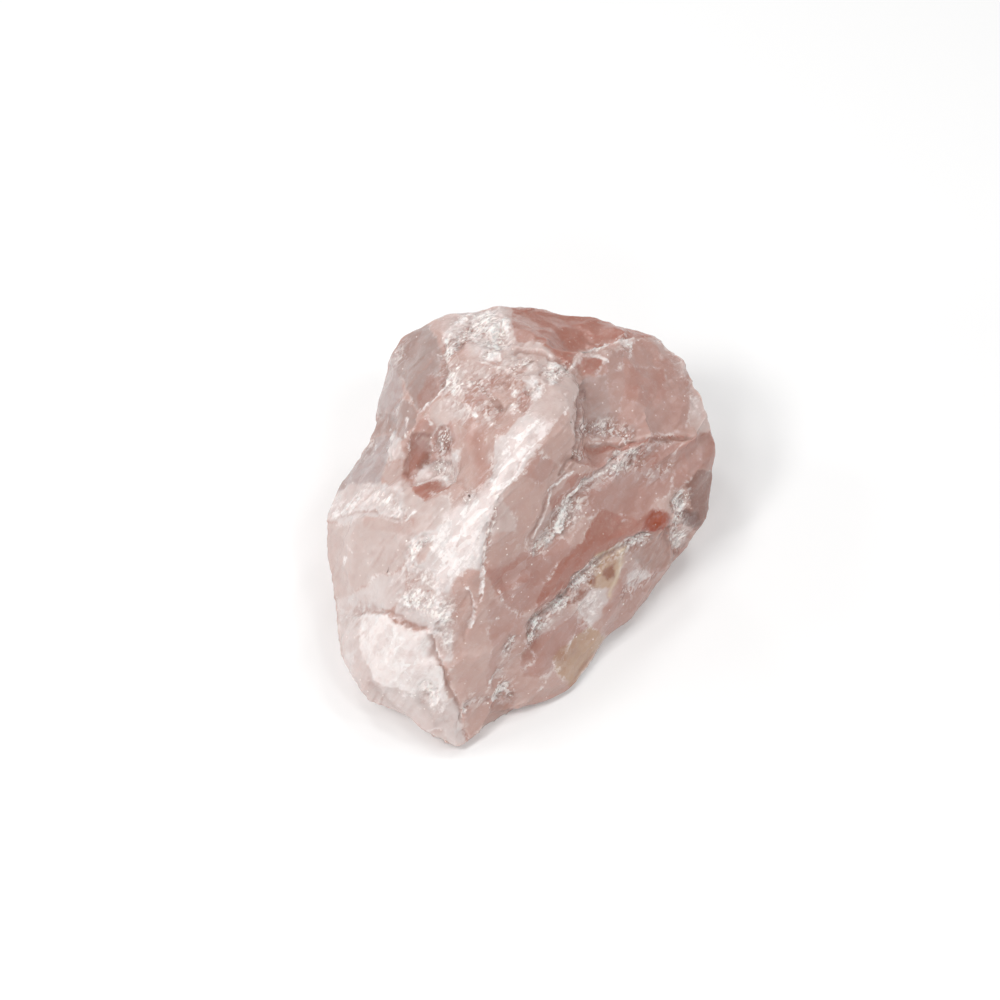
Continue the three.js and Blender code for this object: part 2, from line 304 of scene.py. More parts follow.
    "round": [  # ridges and faces without straight folds
        (1, [(5, 21, 3.5), (1, 13, 4), (-4.5, 5, 4.5), (-5.5, -3, 4.5), (-6.5, -11, 4), (-9, -19, 3)]),
        (0.9, [(-20, 1.5, 3), (-14, -0.5, 4), (-8, 3, 4)]),
        (0.8, [(-26, -11, 3.5), (-19, -7.5, 4), (-13, -10, 4)]),
        (0.8, [(-32, -20, 2.5), (-27, -28, 3), (-20, -33, 2.5)]),
        (0.7, [(11, 7, 3), (5, -3, 4), (1, -12, 3.5)]),
        (0.7, [(22, 24, 4), (20, 31, 3)]),
        (0.7, [(26, 4, 3.5), (20, 9, 3)]),
        (0.7, [(-26, 13, 3), (-22, 9, 2.5)]),
        (0.6, [(-3, 31, 3), (-12, 31, 3)]),
    ],
}

# Colours inside the stone, laid over each other in order: a name from the quartz colours, a strength and then
# either the corners of a fracture face (across, up), or a soft stroke (across, up, half width).
# The faces were given the colours they show when lit, so besides the stone's own colour they carry some
# painted light and shade.
tones = [
    ("ash", 0.85, [(-21.3, 33), (-18.5, 35), (-16, 35.8), (-14.4, 33), (-14.2, 28), (-15, 24.8),
        (-16.5, 23), (-18.6, 20.8), (-19.4, 22.5), (-20, 24.5), (-21.2, 27), (-21.3, 30)]),
    ("grey", 0.7, [(-20, 35), (-24, 31.5), (-26, 27), (-26, 19.5), (-22.3, 18.5), (-21, 24),
        (-21.4, 31.5)]),
    ("dusk", 0.35, [(-18.8, 20.6), (-17, 22.3), (-15, 24.7), (-14.3, 27), (-16.5, 27), (-18, 24)]),
    ("ash", 0.7, [(-26.5, 19.5), (-22, 20.5), (-21.3, 23), (-19.5, 22), (-18.7, 20.2), (-20, 15.3),
        (-21.4, 15.2), (-22.3, 17.4), (-26, 16)]),
    ("grey", 0.8, [(-22, 17.4), (-25.2, 16), (-28.5, 12.3), (-32.5, 8), (-32, 6.3), (-28, 8.3),
        (-24.5, 8.6), (-23.6, 11), (-23, 15)]),
    ("ash", 0.7, [(-25, 16.6), (-30.8, 11), (-33, 7), (-30.2, 7.3), (-28.6, 10.6), (-25.4, 14.8)]),
    ("milk", 0.6, [(-22.3, 16.6), (-20.8, 15.3), (-20.2, 12.3), (-23, 12), (-23.3, 14.6)]),
    ("pale", 0.6, [(-23.8, 11.2), (-20.4, 12.2), (-20.3, 9.3), (-22, 8.2), (-24, 9.6)]),
    ("milk", 0.65, [(-32, 6.5), (-28, 8.4), (-24, 8.8), (-22, 8.2), (-20.8, 9.4), (-20, 5), (-21.5, 2.3),
        (-27, 3), (-30, 1), (-35, 2.2), (-34, 5)]),
    ("pale", 0.8, [(-20.8, 9.4), (-19, 9), (-17.8, 6.7), (-16.5, 5.9), (-14, 6.8), (-12.6, 6.2),
        (-12.5, 4.8), (-14, 3.2), (-17, 3), (-21.5, 2.3), (-20.5, 5)]),
    ("pale", 0.9, [(-35, 1.6), (-30, 1), (-27, 3), (-22, 2.2), (-19, 2), (-18.3, 0), (-20, -3), (-21, -6),
        (-25, -7.5), (-27.5, -9.3), (-30, -10.8), (-35, -13), (-35, -7)]),
    ("rose", 0.4, [(-27, 2.9), (-22, 2.2), (-19, 2), (-18.5, 0), (-21.5, -0.3), (-27, 0.6)]),
    ("pale", 0.6, [(-18.5, 2.8), (-14, 3.2), (-12.5, 1), (-15, 0), (-18.5, 0.2)]),
    ("milk", 0.6, [(-35, -13), (-28, -10), (-25, -7.6), (-21, -6.5), (-20.5, -11.5), (-23, -13.3),
        (-27.5, -13.8), (-28, -20), (-30, -23), (-35, -20)]),
    ("pale", 0.7, [(-35, -12), (-31.9, -12.5), (-31.9, -17), (-31, -21.5), (-29.5, -24), (-33, -26)]),
    ("milk", 0.45, [(-2, 10, 3.5), (-8, 3, 4.5), (-12, -4, 4.5), (-14, -10, 3.5)]),
    ("milk", 0.35, [(-13.5, -17, 2.5), (-13, -21, 1.5)]),
    ("frost", 0.9, [(-28, -14), (-25, -13.8), (-22.8, -14.6), (-21, -15.8), (-19.5, -16.8), (-17.5, -17.3),
        (-15.5, -18), (-15, -19.5), (-14.3, -21.5), (-13.5, -24), (-12.7, -27), (-12, -29.5), (-15, -30.5),
        (-20, -27.5), (-24, -26.5), (-26.5, -23.5), (-28, -20)]),
    ("milk", 0.6, [(-35, -24), (-28, -20), (-26.5, -23.5), (-24, -26.5), (-20, -27.5), (-15, -30.5),
        (-12, -29.5), (-11, -29), (-9.6, -32), (-8, -40), (-14, -41), (-24, -36), (-32, -30)]),
    ("pale", 0.8, [(-17, -40), (-17, -35.5), (-13.7, -34.2), (-11.5, -37), (-10, -41)]),
    ("pale", 0.5, [(-27, -26, 0.7), (-24.3, -29.2, 0.7), (-20.5, -31.8, 0.6)]),
    ("ash", 0.35, [(-25.6, -26, 0.45), (-24, -28.6, 0.5), (-22, -30.6, 0.3)]),
    ("ash", 0.35, [(-18, -28.2, 0.4), (-16.3, -31, 0.5), (-14.4, -33.6, 0.4)]),
    ("milk", 0.7, [(-21.5, -11), (-17, -11), (-14.5, -12), (-12, -13.5), (-12.3, -17), (-11.6, -22),
        (-13.5, -22), (-15.2, -17.8), (-19, -16), (-22, -14.4)]),
    ("rose", 0.6, [(-15, -18.4), (-13.3, -18), (-12, -20.5), (-13.2, -22.2), (-14.4, -21.4)]),
    ("milk", 0.7, [(-19, -0.3), (-15, 0.6), (-12, 4.8), (-9, 5), (-6, 8), (-5.8, 11.5), (-4.6, 15.5),
        (-1, 19), (1.5, 21), (4, 20), (5.5, 19), (2.8, 16), (2, 12.5), (0.3, 10), (-3.5, 7.5), (-4.9, 5),
        (-5.8, -3), (-6, -7), (-9, -6.5), (-11.5, -8), (-13.5, -12.5), (-16, -9), (-20.5, -7),
        (-20.5, -4)]),
    ("rose", 0.7, [(-18.8, -3.5), (-17.5, -2), (-15.7, -1.3), (-15.5, -2.5), (-17, -5.3), (-18.5, -5.5)]),
    ("pale", 0.8, [(-20.5, -7), (-17, -6.5), (-15, -8), (-14.5, -11.5), (-17, -11), (-20.5, -11.3)]),
    ("rose", 0.85, [(-11.5, -8), (-9, -6.7), (-6.3, -7), (-6.4, -11), (-7.6, -15), (-9, -17.8),
        (-11.8, -16), (-12.7, -12)]),
    ("deepRose", 0.85, [(-19.8, 15), (-18.5, 17.8), (-18, 19.5), (-16.6, 19.9), (-16, 17.5), (-14.3, 17.8),
        (-12.5, 18.7), (-11.4, 16.5), (-12.3, 14), (-12.8, 12.2), (-14.5, 11.8), (-16.5, 11), (-17.6, 10),
        (-18.5, 8.2), (-20.4, 9.5), (-20, 12.5)]),
    ("umber", 0.9, [(-19.8, 14.8), (-18.6, 16.8), (-16.2, 16.6), (-15.4, 13.5), (-15.8, 11.2), (-17.6, 10),
        (-19.3, 9.3), (-20.3, 10.6), (-20, 12.5)]),
    ("dusk", 0.6, [(-18, 12.6, 1.3), (-18.4, 11, 1)]),
    ("umber", 0.7, [(-15, 16.5, 0.7), (-13.6, 15, 0.9), (-12.6, 16, 0.6)]),
    ("milk", 0.8, [(-18, 9.6), (-16.6, 10.9), (-15, 11.7), (-13, 11.5), (-12.4, 13), (-11, 14), (-10.9, 13),
        (-12.4, 10.5), (-13, 9.2), (-15, 9), (-17.3, 8.6)]),
    ("dusk", 0.9, [(-18.6, 8), (-17.3, 8.5), (-15.5, 8.9), (-14, 9), (-12.8, 8.6), (-13.2, 7.9),
        (-15.7, 7.4), (-16.6, 6.3), (-17.6, 6.6), (-18, 7.4)]),
    ("rose", 0.8, [(-11.3, 19.5), (-9.8, 20), (-7.5, 19.5), (-6, 18), (-6.3, 15.5), (-5.8, 12), (-6, 9.8),
        (-7, 8.3), (-8.3, 6.3), (-12.5, 6), (-12.6, 8), (-12.3, 10.5), (-11.3, 12.5), (-10.6, 15)]),
    ("dusk", 0.45, [(-8.3, 16.3, 1.6), (-7.6, 13.5, 1), (-7.2, 10, 0.9), (-7.6, 8, 0.6)]),
    ("rose", 0.5, [(-14, 29.3), (-10.5, 30.2), (-7, 29.9), (-4.5, 29), (-2, 28), (0, 26.5), (-0.5, 25),
        (-2, 22), (-3, 20), (-5, 18.5), (-7, 19.5), (-10, 22.5), (-12, 21), (-15, 20), (-15.5, 22),
        (-12.8, 27.5)]),
    ("pale", 0.5, [(-14, 29.2), (-10.5, 30.1), (-7, 29.7), (-4.6, 28.8), (-6, 26), (-9, 25), (-12, 26)]),
    ("deepRose", 0.5, [(-9.6, 24, 0.9), (-8.4, 22, 1.1), (-6.5, 24.5, 0.9), (-4.6, 27.2, 0.7)]),
    ("pale", 0.7, [(-15.5, 22), (-12.5, 23.7), (-10, 22.2), (-8.5, 20.4), (-10.5, 19.4), (-12.5, 18.7),
        (-15, 17.7), (-16, 19)]),
    ("lilac", 0.35, [(-13, 36, 1.8), (-11.5, 38, 1.8), (-13, 32, 1)]),
    ("milk", 0.5, [(-11, 35, 1.6), (-7, 36.5, 2.4), (-4, 36, 2.6), (-3, 33.5, 1.8), (-7, 32, 1.6)]),
    ("rose", 0.6, [(-12.3, 30.6), (-10.6, 33.3), (-9.4, 33.8), (-9.2, 31.2), (-10.2, 30)]),
    ("dusk", 0.3, [(-11.4, 31, 0.5), (-9.7, 33.4, 0.5)]),
    ("pale", 0.6, [(-2, 31.4), (0, 33.1), (3, 33.2), (5, 31.6), (3, 28.5), (0, 29.5), (-2, 28),
        (-3.5, 29)]),
    ("umber", 0.45, [(-14.7, 29.8), (-13, 29.5), (-12.2, 28.2), (-13, 26.5), (-14.6, 24.6), (-15, 27)]),
    ("dusk", 0.85, [(-1.4, 40), (-1, 35), (0, 33.3), (2.5, 33.3), (4, 33), (6, 31), (7.2, 30), (9.3, 29.2),
        (10, 30.5), (10.7, 31.3), (12.5, 32.1), (14.5, 32.6), (17.5, 33.7), (20.5, 33.4), (24, 33.2),
        (20.5, 37), (15.5, 39), (4, 40)]),
    ("rose", 0.4, [(-1, 37.2), (0.6, 37.6), (3.2, 36.5), (3.6, 34.6), (2.5, 33.4), (0.2, 33.5),
        (-0.8, 35)]),
    ("dusk", 0.8, [(10.3, 28.2), (11.3, 30.2), (13, 30.1), (15, 29.3), (14, 27.6), (12.5, 26.6),
        (11.6, 27)]),
    ("pale", 0.75, [(-1, 27), (1.5, 28.3), (5, 31.5), (7.3, 29.8), (9.8, 28.3), (11, 26.8), (11.6, 25),
        (11.9, 23.5), (11.4, 21), (11.4, 18), (11.4, 15.5), (9.5, 17), (8.8, 20.5), (5.5, 19), (4.2, 17.5),
        (1, 20.5), (2, 22.5), (3.5, 25)]),
    ("milk", 0.6, [(0.4, 26.4), (2.8, 27), (3.8, 25.2), (2.6, 23), (1.7, 24)]),
    ("deepRose", 0.8, [(-0.6, 24.6), (1.2, 24.8), (1.8, 23), (1.5, 21.5), (0.4, 20.6), (-0.8, 22.3)]),
    ("rose", 0.75, [(8.9, 20.7), (9.5, 17), (11.4, 15.5), (11.3, 13), (10, 11.2), (8, 10.8), (4, 13),
        (2.6, 15.5), (4.5, 17.8), (6, 19)]),
    ("rose", 0.9, [(3, 15.5), (4.5, 13), (8, 10.8), (10, 11.2), (8.5, 9), (6, 7), (5.8, 4.5), (4, 1),
        (2, -1), (1.5, -3), (0, -5), (-1.5, -6), (-5.2, -7), (-5.2, -3), (-4.8, 0), (-0.3, 0), (0, 2.5),
        (-1, 3.8), (-3, 6.3), (-1.5, 8.3), (0.5, 10), (2, 12)]),
    ("pale", 0.65, [(-4.9, 4.5), (-3, 5), (-1.2, 4), (-0.2, 2), (-0.3, 0), (-2.5, -0.5), (-4.8, -0.6)]),
    ("deepRose", 0.5, [(2.2, 15.7), (3, 13), (1, 9.5), (4, 8), (7.4, 10.6), (4.3, 13.4)]),
    ("deepRose", 0.6, [(12, 26.5), (14, 28), (15.5, 29), (17.5, 32), (20, 32.3), (21, 33.2), (24, 32.8),
        (27, 31.5), (30.5, 28), (32, 24), (31.4, 22.5), (29.5, 20), (29, 17.3), (25, 16.5), (21, 16.5),
        (12, 16), (11.5, 18), (11.5, 21), (12, 23.5)]),
    ("ash", 0.5, [(12, 26.5), (15.3, 27), (15.6, 20), (15, 16.7), (11.8, 16.7), (11.6, 21), (12, 23.5)]),
    ("ash", 0.3, [(15.4, 29), (17, 32), (18.4, 31), (18, 24), (16.4, 18), (15.3, 17)]),
    ("dusk", 0.3, [(19.4, 28.3), (25.6, 28), (25.6, 22.4), (22, 21), (18.2, 22.6)]),
    ("pale", 0.5, [(22, 33.4), (27.5, 32), (31, 28), (32.5, 24), (29.5, 26), (27.5, 28.5), (24.5, 30.4)]),
    ("pale", 0.75, [(29.5, 22.5), (31.4, 22.8), (34.5, 20.5), (34.5, 17.6), (31.3, 16.4), (29.5, 19)]),
    # painted shade on the step face under the ledge: a dark band, with a bark strip in it
    ("dusk", 0.85, [(11.6, 14.2), (13, 15), (17, 15.4), (21, 15.9), (25, 16.3), (29, 16.6), (28, 15.6),
        (24, 15), (20, 14.4), (16, 14.2), (13, 13.4), (11.8, 13)]),
    ("bark", 0.4, [(23.5, 16.2), (29.5, 16.7), (28.5, 15.7), (23.5, 15)]),
    ("deepRose", 0.85, [(12, 13.4), (16, 14), (20, 14.2), (25, 14.8), (28, 15.3), (27, 12.5), (26.7, 9),
        (26.4, 6.5), (24, 5), (21.5, 2), (17, 1.5), (14.5, 3.5), (12.5, 2), (10.5, 3), (10, 5.5), (12, 8.5),
        (14, 10.5), (12, 11), (10.5, 11.5), (11.3, 12.8)]),
    ("pale", 0.45, [(12, 8.4), (14.8, 10.6), (20.6, 13.6), (21.4, 11.5), (16.3, 9.9), (13.5, 7),
        (10.6, 5)]),
    ("dusk", 0.5, [(21.5, 13.6), (24.3, 13), (24, 10.5), (22, 11)]),
    ("dusk", 0.7, [(11.2, 9.6), (12.8, 9.2), (10.3, 6), (8.8, 3.6), (7.3, 1.8), (5.8, 4.8), (7.7, 7),
        (9.8, 9)]),
    ("ash", 0.5, [(7, 3.8), (8.4, 4.2), (9.8, 5), (8.6, 2.6), (6.8, 0.4), (4.6, -1.6), (3, -2),
        (4.4, 1.4)]),
    ("deepRose", 0.9, [(31, 16.3), (36, 17.5), (36, 9), (31, 10.4), (29.5, 8.5), (28, 7), (26.6, 7.5),
        (27, 10), (27.2, 13), (28.5, 15), (30, 16.2)]),
    ("bark", 0.3, [(31, 16.3), (36, 17.5), (36, 9), (31.5, 10.6), (31.8, 13)]),
    ("umber", 0.9, [(31, 10.3), (36, 9.3), (36, 3), (32, -1.5), (30.5, -0.8), (29.3, 0), (28.6, 2),
        (30, 3.5), (30, 6), (29, 8.2)]),
    ("soot", 0.5, [(28.8, 2.8), (31, 2.6), (32, 0.4), (30, -0.4), (29, 0.6)]),
    ("dusk", 0.9, [(9, -3), (11, -1.5), (12.5, 1), (14.5, 3.4), (17, 3), (20.5, 2.2), (22.5, 3), (24, 3.7),
        (25.5, 3.4), (27, 1.8), (26.6, -0.2), (23.5, -0.4), (21, -1.2), (19.3, -2.8), (16, -4), (13.5, -5),
        (12, -6.7), (9.5, -9.2), (8, -11.7), (5.5, -13.7), (3.5, -15), (2.7, -13), (4, -9), (7, -5)]),
    ("deepRose", 0.9, [(-1.5, -6), (2, -3.3), (4.5, -3.3), (8, -1.5), (9, -3), (7, -5), (4, -9), (2.7, -13),
        (0, -15), (-2, -13), (-4.5, -9), (-5.3, -7)]),
    ("dusk", 0.5, [(-2.2, -8.3, 1.5), (-0.3, -6.3, 1.2), (1.5, -8.5, 1)]),
    ("rose", 0.8, [(-5.3, -7), (-4.5, -9), (-2, -13), (0, -15), (2.5, -14.8), (2, -19.5), (3, -22),
        (1, -25), (-1, -26), (-4, -29.5), (-5, -31.5), (-6, -33.5), (-8.5, -37), (-8.8, -32), (-10, -30),
        (-11, -27.5), (-11.8, -25), (-11, -20), (-9.5, -17.5), (-7.5, -15.5), (-8, -12.5), (-6.3, -10)]),
    ("deepRose", 0.6, [(-4.2, -12), (-2, -13.2), (1.8, -15), (1.6, -19.6), (-0.4, -18.4), (-2, -21),
        (-3.6, -24.6), (-5.4, -28), (-4.8, -22), (-4.9, -17.6), (-3.2, -15.6), (-5.6, -15.8)]),
    ("deepRose", 0.8, [(2, -19.5), (4, -19), (6.5, -16.5), (9, -15.2), (13, -16), (12, -18), (9, -20),
        (7, -24), (4, -25), (1, -25.4), (0.5, -22)]),
    ("bark", 0.5, [(1.2, -21.6, 0.9), (3, -19.8, 0.9), (2.6, -18.6, 0.6)]),
    ("honey", 0.85, [(8.4, -20.5), (12.6, -17), (15.6, -19), (13, -24.5), (9, -27.5), (6.6, -24.4),
        (6.4, -22)]),
    ("bark", 0.3, [(9.4, -20.8, 1.2), (7.4, -22, 0.9)]),
    ("rose", 0.7, [(4.5, -25), (6.6, -24.4), (9, -26), (7.5, -30), (2, -32), (-5, -34), (-4, -29.5),
        (0, -26.5)]),
    ("bark", 0.5, [(-2.3, -30, 1.3), (-3.7, -31, 0.7)]),
    ("bark", 0.5, [(21, -1), (23.5, -0.5), (26.6, -0.3), (27, -2), (28.5, -5), (25.5, -7), (22, -7.6),
        (20, -5.5), (20.5, -3)]),
    ("ash", 0.4, [(19.3, -3.6, 0.9), (20.5, -5.5, 1.3), (19.5, -7, 0.8)]),
    ("honey", 0.9, [(14, -4.8), (18.5, -3), (19.6, -3.3), (18.2, -6), (17.5, -8.8), (15.5, -10.4),
        (12.8, -10.5), (12.4, -9), (13.5, -6.5)]),
    ("bark", 0.8, [(15, -6.8), (16.8, -6), (16.6, -8.2), (15.4, -8.9), (14.6, -8)]),
    ("bark", 0.8, [(13.2, -7.6), (13.9, -8.6), (13.8, -10.1), (12.4, -9.9), (12.7, -8.6)]),
    ("bark", 0.7, [(8.6, -12.9), (11, -11), (14, -10.2), (12.5, -11.3), (10.8, -12.5), (9, -13.1)]),
    ("deepRose", 0.5, [(18.5, -6), (20, -5.5), (22, -7.5), (25.8, -6.5), (26, -10), (20, -17), (16, -20),
        (14.5, -15), (16.5, -11.5), (17.5, -8.5)]),
    ("dusk", 0.4, [(17.2, -9, 0.6), (18, -11, 0.9), (15.6, -13.5, 0.7)]),
    ("dusk", 0.4, [(24.5, -7.2, 0.5), (22, -9.6, 0.5), (20, -11.3, 0.3)]),
    ("milk", 0.6, [(11, -12.3), (13.5, -10.5), (15.2, -10.3), (15.3, -12), (14.5, -14.5), (13, -17),
        (11.5, -14.8), (10, -13.8)]),
    ("pale", 0.5, [(6.6, -13), (9, -13.2), (11, -12.7), (10, -15), (6.4, -17.5), (5, -19), (4.4, -16)]),
    ("milk", 0.55, [(19, -8), (20.5, -7), (22.5, -7.4), (23, -8.4), (21.5, -9.2), (20.5, -11),
        (19.7, -10)]),
    ("rust", 0.95, [(21.3, 0.3), (22.3, 1.9), (23.4, 2.9), (25, 3.3), (26.4, 2.4), (26.9, 1), (26.4, 0.1),
        (25, 0), (23.6, -0.4), (22, -0.4)]),
    ("rustRim", 0.7, [(26.4, 0.3, 0.25), (25, -0.05, 0.25), (23.5, -0.3, 0.25)]),
    ("rustRim", 0.5, [(21.8, 0.2, 0.3), (22.4, 1.8, 0.3), (23.4, 2.8, 0.3)]),
    ("rust", 0.4, [(22, -0.4, 0.5), (20, -1.9, 0.45), (18.8, -2.6, 0.4)]),
    ("cream", 0.7, [(14.2, -4.7, 0.3), (16, -4.3, 0.4), (18.5, -3.6, 0.5)]),
    ("cream", 0.8, [(18.6, -4.2, 0.4), (18, -6.4, 0.3), (17.3, -8, 0.4), (16.3, -9.9, 0.35),
        (15.7, -11.6, 0.2)]),
    ("cream", 0.45, [(14.7, -6, 0.3), (14.6, -7.8, 0.25)]),
    ("bark", 0.5, [(29.4, 8.6, 0.3), (29, 7.4, 0.3)]),
    # painted shadows: thin dark lines along the steps beside the white blade
    ("bark", 0.55, [(-22.6, -14.7, 0.2), (-21, -15.5, 0.3), (-19.5, -16.6, 0.35), (-17.6, -17, 0.25)]),
    ("bark", 0.6, [(-14, -22.8, 0.3), (-12.9, -23.4, 0.35), (-12.2, -25, 0.3), (-12, -26.8, 0.3)]),
    ("umber", 0.55, [(-10.9, -27.6, 0.2), (-10.5, -29.4, 0.25), (-9.7, -31, 0.2)]),
    # painted shade: a thin dark line in the crease along the lobe's edge
    ("soot", 0.5, [(12, 26, 0.16), (12, 23.7, 0.16), (11.6, 21, 0.16), (11.5, 17, 0.14), (11.3, 14, 0.14)]),
    ("umber", 0.5, [(11, 12.4, 0.3), (9.4, 10.4, 0.25)]),
]

# Edges where a sheet broke off: mm deep, and mm that the lower side takes to rise again. The lower side is on
# the right of the way that the points go.
ledges = [
    (0.9, 4, [(-15.2, -17.6), (-17.5, -17), (-19.6, -16.4), (-21, -15.3), (-22.6, -14.2), (-27, -14.5)]),
    (1, 3.5, [(-15, -18), (-13.9, -21.6), (-12.6, -24), (-11.4, -27.6), (-10.3, -30), (-9, -34)]),
    (0.8, 3, [(-2, 32.5), (2, 31.6), (5.5, 31), (8.5, 29.8), (10.3, 28.3), (11.8, 26)]),
    (0.9, 3, [(11.8, 26), (12.1, 23.7), (11.7, 21), (11.4, 18), (11.3, 15), (11, 12.5), (9.3, 10.6),
        (7.6, 8.3)]),
    (0.8, 1.6, [(12, 15), (16, 15.3), (22, 15.8), (27, 16.3), (31, 16.8)]),
    (0.7, 2.2, [(4, -3.2), (6.5, -1.6), (8.2, 0.2), (9.6, 3.6), (10.8, 6.4), (12.6, 8.7), (14.5, 11),
        (17, 13.4)]),
    (0.5, 1.6, [(10.3, 9.8), (8.5, 8.5), (6.2, 6.8), (5.3, 4.5), (4.4, 2), (3.4, 0), (2.4, -2.6)]),
    (0.8, 2.5, [(24, -0.8), (20.3, -3.2), (15.5, -5.2), (12.8, -7.3), (10, -10.2), (7.3, -13.3), (3.4, -16),
        (1.8, -19.8)]),
    (0.9, 3, [(-11.5, 8.4), (-13.5, 9.7), (-15.5, 9.6), (-17.3, 8.6), (-19, 8)]),
    (0.8, 2.5, [(-13.5, 31.5), (-12.8, 28), (-13.8, 25.4), (-16.2, 22.4), (-18.6, 20.6), (-19.2, 17),
        (-19.4, 12)]),
    (0.6, 2.5, [(-3.2, 37.5), (-2.4, 34.5), (-1.2, 32)]),
    (0.7, 2, [(20.5, 33.4), (17, 33.6), (15, 32.8), (12.6, 31.6), (10.4, 30.8)]),
    (0.25, 3, [(-33, 2.3), (-29, 3.8), (-25.5, 4), (-22.5, 2.6), (-19.5, 3.2)]),
    (0.3, 3, [(-5.6, 3), (-5.2, 0), (-5.5, -3), (-5.7, -7), (-6, -11), (-6.8, -13.5)]),
    (0.5, 2.5, [(-9.5, -9.7), (-7.8, -12.3), (-7.3, -14.6), (-8.5, -17.5), (-9.4, -20)]),
    (0.3, 3, [(2.8, 15.6), (0.5, 12.2), (-1.2, 9.2), (-4.3, 5.6)]),
    (0.5, 2, [(29.8, 7), (27.3, 4.8), (27.2, 1), (26, -1.5), (26.6, -4)]),
    (0.4, 1.5, [(-4.9, -28), (-3.6, -25.2), (-2.4, -23)]),
]

quartz = {
    "rose": shade(189, 159, 150),
    "deepRose": shade(173, 132, 122),
    "pale": shade(199, 182, 177),
    "milk": shade(219, 215, 214),
    "frost": shade(236, 230, 228),
    "grey": shade(176, 168, 168),
    "ash": shade(159, 140, 135),
    "dusk": shade(160, 100, 83),
    "umber": shade(130, 90, 78),
    "bark": shade(132, 71, 42),
    "soot": shade(78, 32, 20),
    "honey": shade(184, 155, 129),
    "cream": shade(214, 196, 170),
    "rust": shade(149, 64, 32),
    "rustRim": shade(134, 50, 28),
    "lilac": shade(206, 187, 183),
    # painted highlight: white that stands in for glints of light
    "paintedGlint": shade(255, 249, 244),
    "speck": shade(84, 60, 52),
    # size in mm, detail and roughness of the soft patterns
    "cloud": (8, 4, 0.6),
    "haze": (2.2, 5, 0.6),
    "mottle": (0.7, 4, 0.65),
    "cluster": (4, 3, 0.6),
    "veil": (1.5, 5, 0.62),
    "thread": (0.5, 4, 0.6),
    "veilStretch": (1, 10, 5),  # across the healed sheets, along them and the third way
    # sizes in mm of the chips that a broken face is made of, and of what is scattered on it
    "flake": 2.6,
    "shard": 1.1,
    "crumb": 0.36,
    "chipStretch": (1, 2.2, 1.6),
    "chipBend": (3.5, 1),  # size of the bends and how far they go
    "fleck": 0.5,
    "grain": 0.36,
    "fleckBend": (1.6, 1.6),
    # size in mm of the cells that may each hold a painted spark of light
    "paintedSpark": 1.4,
    "glow": 0.65,  # share of the light that spreads inside
    "glowDepth": 1.6,  # mm that it spreads
    "glowColours": (1, 0.75, 0.7),  # share of that depth for red, green and blue
}

stone = {
    "spacing": 0.69,  # mm between points at the back; the broad face has twice as many each way
    "melt": (2, 2),  # passes that soften the straight folds of the rough shape, before and after that
    "bedSkin": 0.3,  # mm above the bed where the melting starts
    "sheets": (-0.72, 0.67, -0.18),  # across the healed sheets in the quartz: across, up, out
    "swell": (0.45, 6.5),  # mm, depth and size of slow lumps
    "steps": (0.26, 2.0),  # mm, height and spacing of the steps where sheets broke off
    "ribs": (0.1, 0.9),  # mm, depth and spacing of fine ribs along the sheets
    "scoops": [(9.0, 1.3, 0.12), (3.6, 0.52, 0.2), (1.6, 0.32, 0.3)],  # mm across, mm deep, lean
    "scoopStretch": (1, 0.6, 0.8),  # across the sheets, along them and the third way; less is longer
    "grains": (0.75, 0.15, 0.4),  # mm across, mm deep and lean in crumbled spots
    # noise that bends outlines and scoops: mm far, mm in size, octaves, seeds
    "markBend": (0.2, 1.3, 2, (3, 4)),
    "toneBend": (0.5, 2.5, 4, (3, 4)),
    "ledgeBend": (0.45, 1.8, 3, (15, 16)),
    "hiddenBend": (0.5, 1.6, 2, (5, 6, 7)),
    "scoopBend": (0.7, 3, 2, (12, 13, 14)),
    # how lively a face is: everywhere, by chance in patches, and by the marks on it
    "lively": {"least": 0.08, "most": 1.2, "base": 0.3, "chance": 0.3, "patch": 11},
    "livelyMarks": {"calm": -0.3, "crumble": 0.3, "busy": 0.7},
    "bedFade": 2.5,  # mm above the bed where the carving is whole
    "rounding": 220,  # passes that even out the rounded stretches
    "hair": 0.02,  # mm inside the rough shape's box
    "seed": 11,
    # marks out of sight: name, how many, strength, half width in mm
    "hiddenMarks": [
        ("frost", 46, 0.8, 1.1),
        ("crumble", 34, 0.8, 1.1),
        ("busy", 30, 0.9, 2.2),
        ("calm", 14, 0.8, 3.2),
    ],
    # colours of faces out of sight, by the face's chance from -1 to 1: name, from, to, strength
    "hiddenTones": [
        ("pale", -1, -0.5, 0.7),
        ("ash", -0.5, -0.25, 0.4),
        ("milk", 0.05, 0.25, 0.45),
        ("dusk", 0.5, 0.65, 0.4),
        ("deepRose", 0.65, 1, 0.6),
    ],
}


def sheetFrame():
    # columns are across the sheets, along them, and the third way, in the row frame
    across = (faceTurn @ Vector(stone["sheets"])).normalized()
    along = across.cross(faceTurn @ Vector((0, 0, 1))).normalized()
    return Matrix((across, along, across.cross(along))).transposed()


sheetTurn = sheetFrame()


def soften(shape, passes):
    loose = [v for v in shape.verts if v.co.z > stone["bedSkin"] * mm]
    axes = {"use_axis_x": True, "use_axis_y": True, "use_axis_z": True}
    for _ in range(passes):
        bmesh.ops.smooth_vert(shape, verts=loose, factor=0.5, **axes)


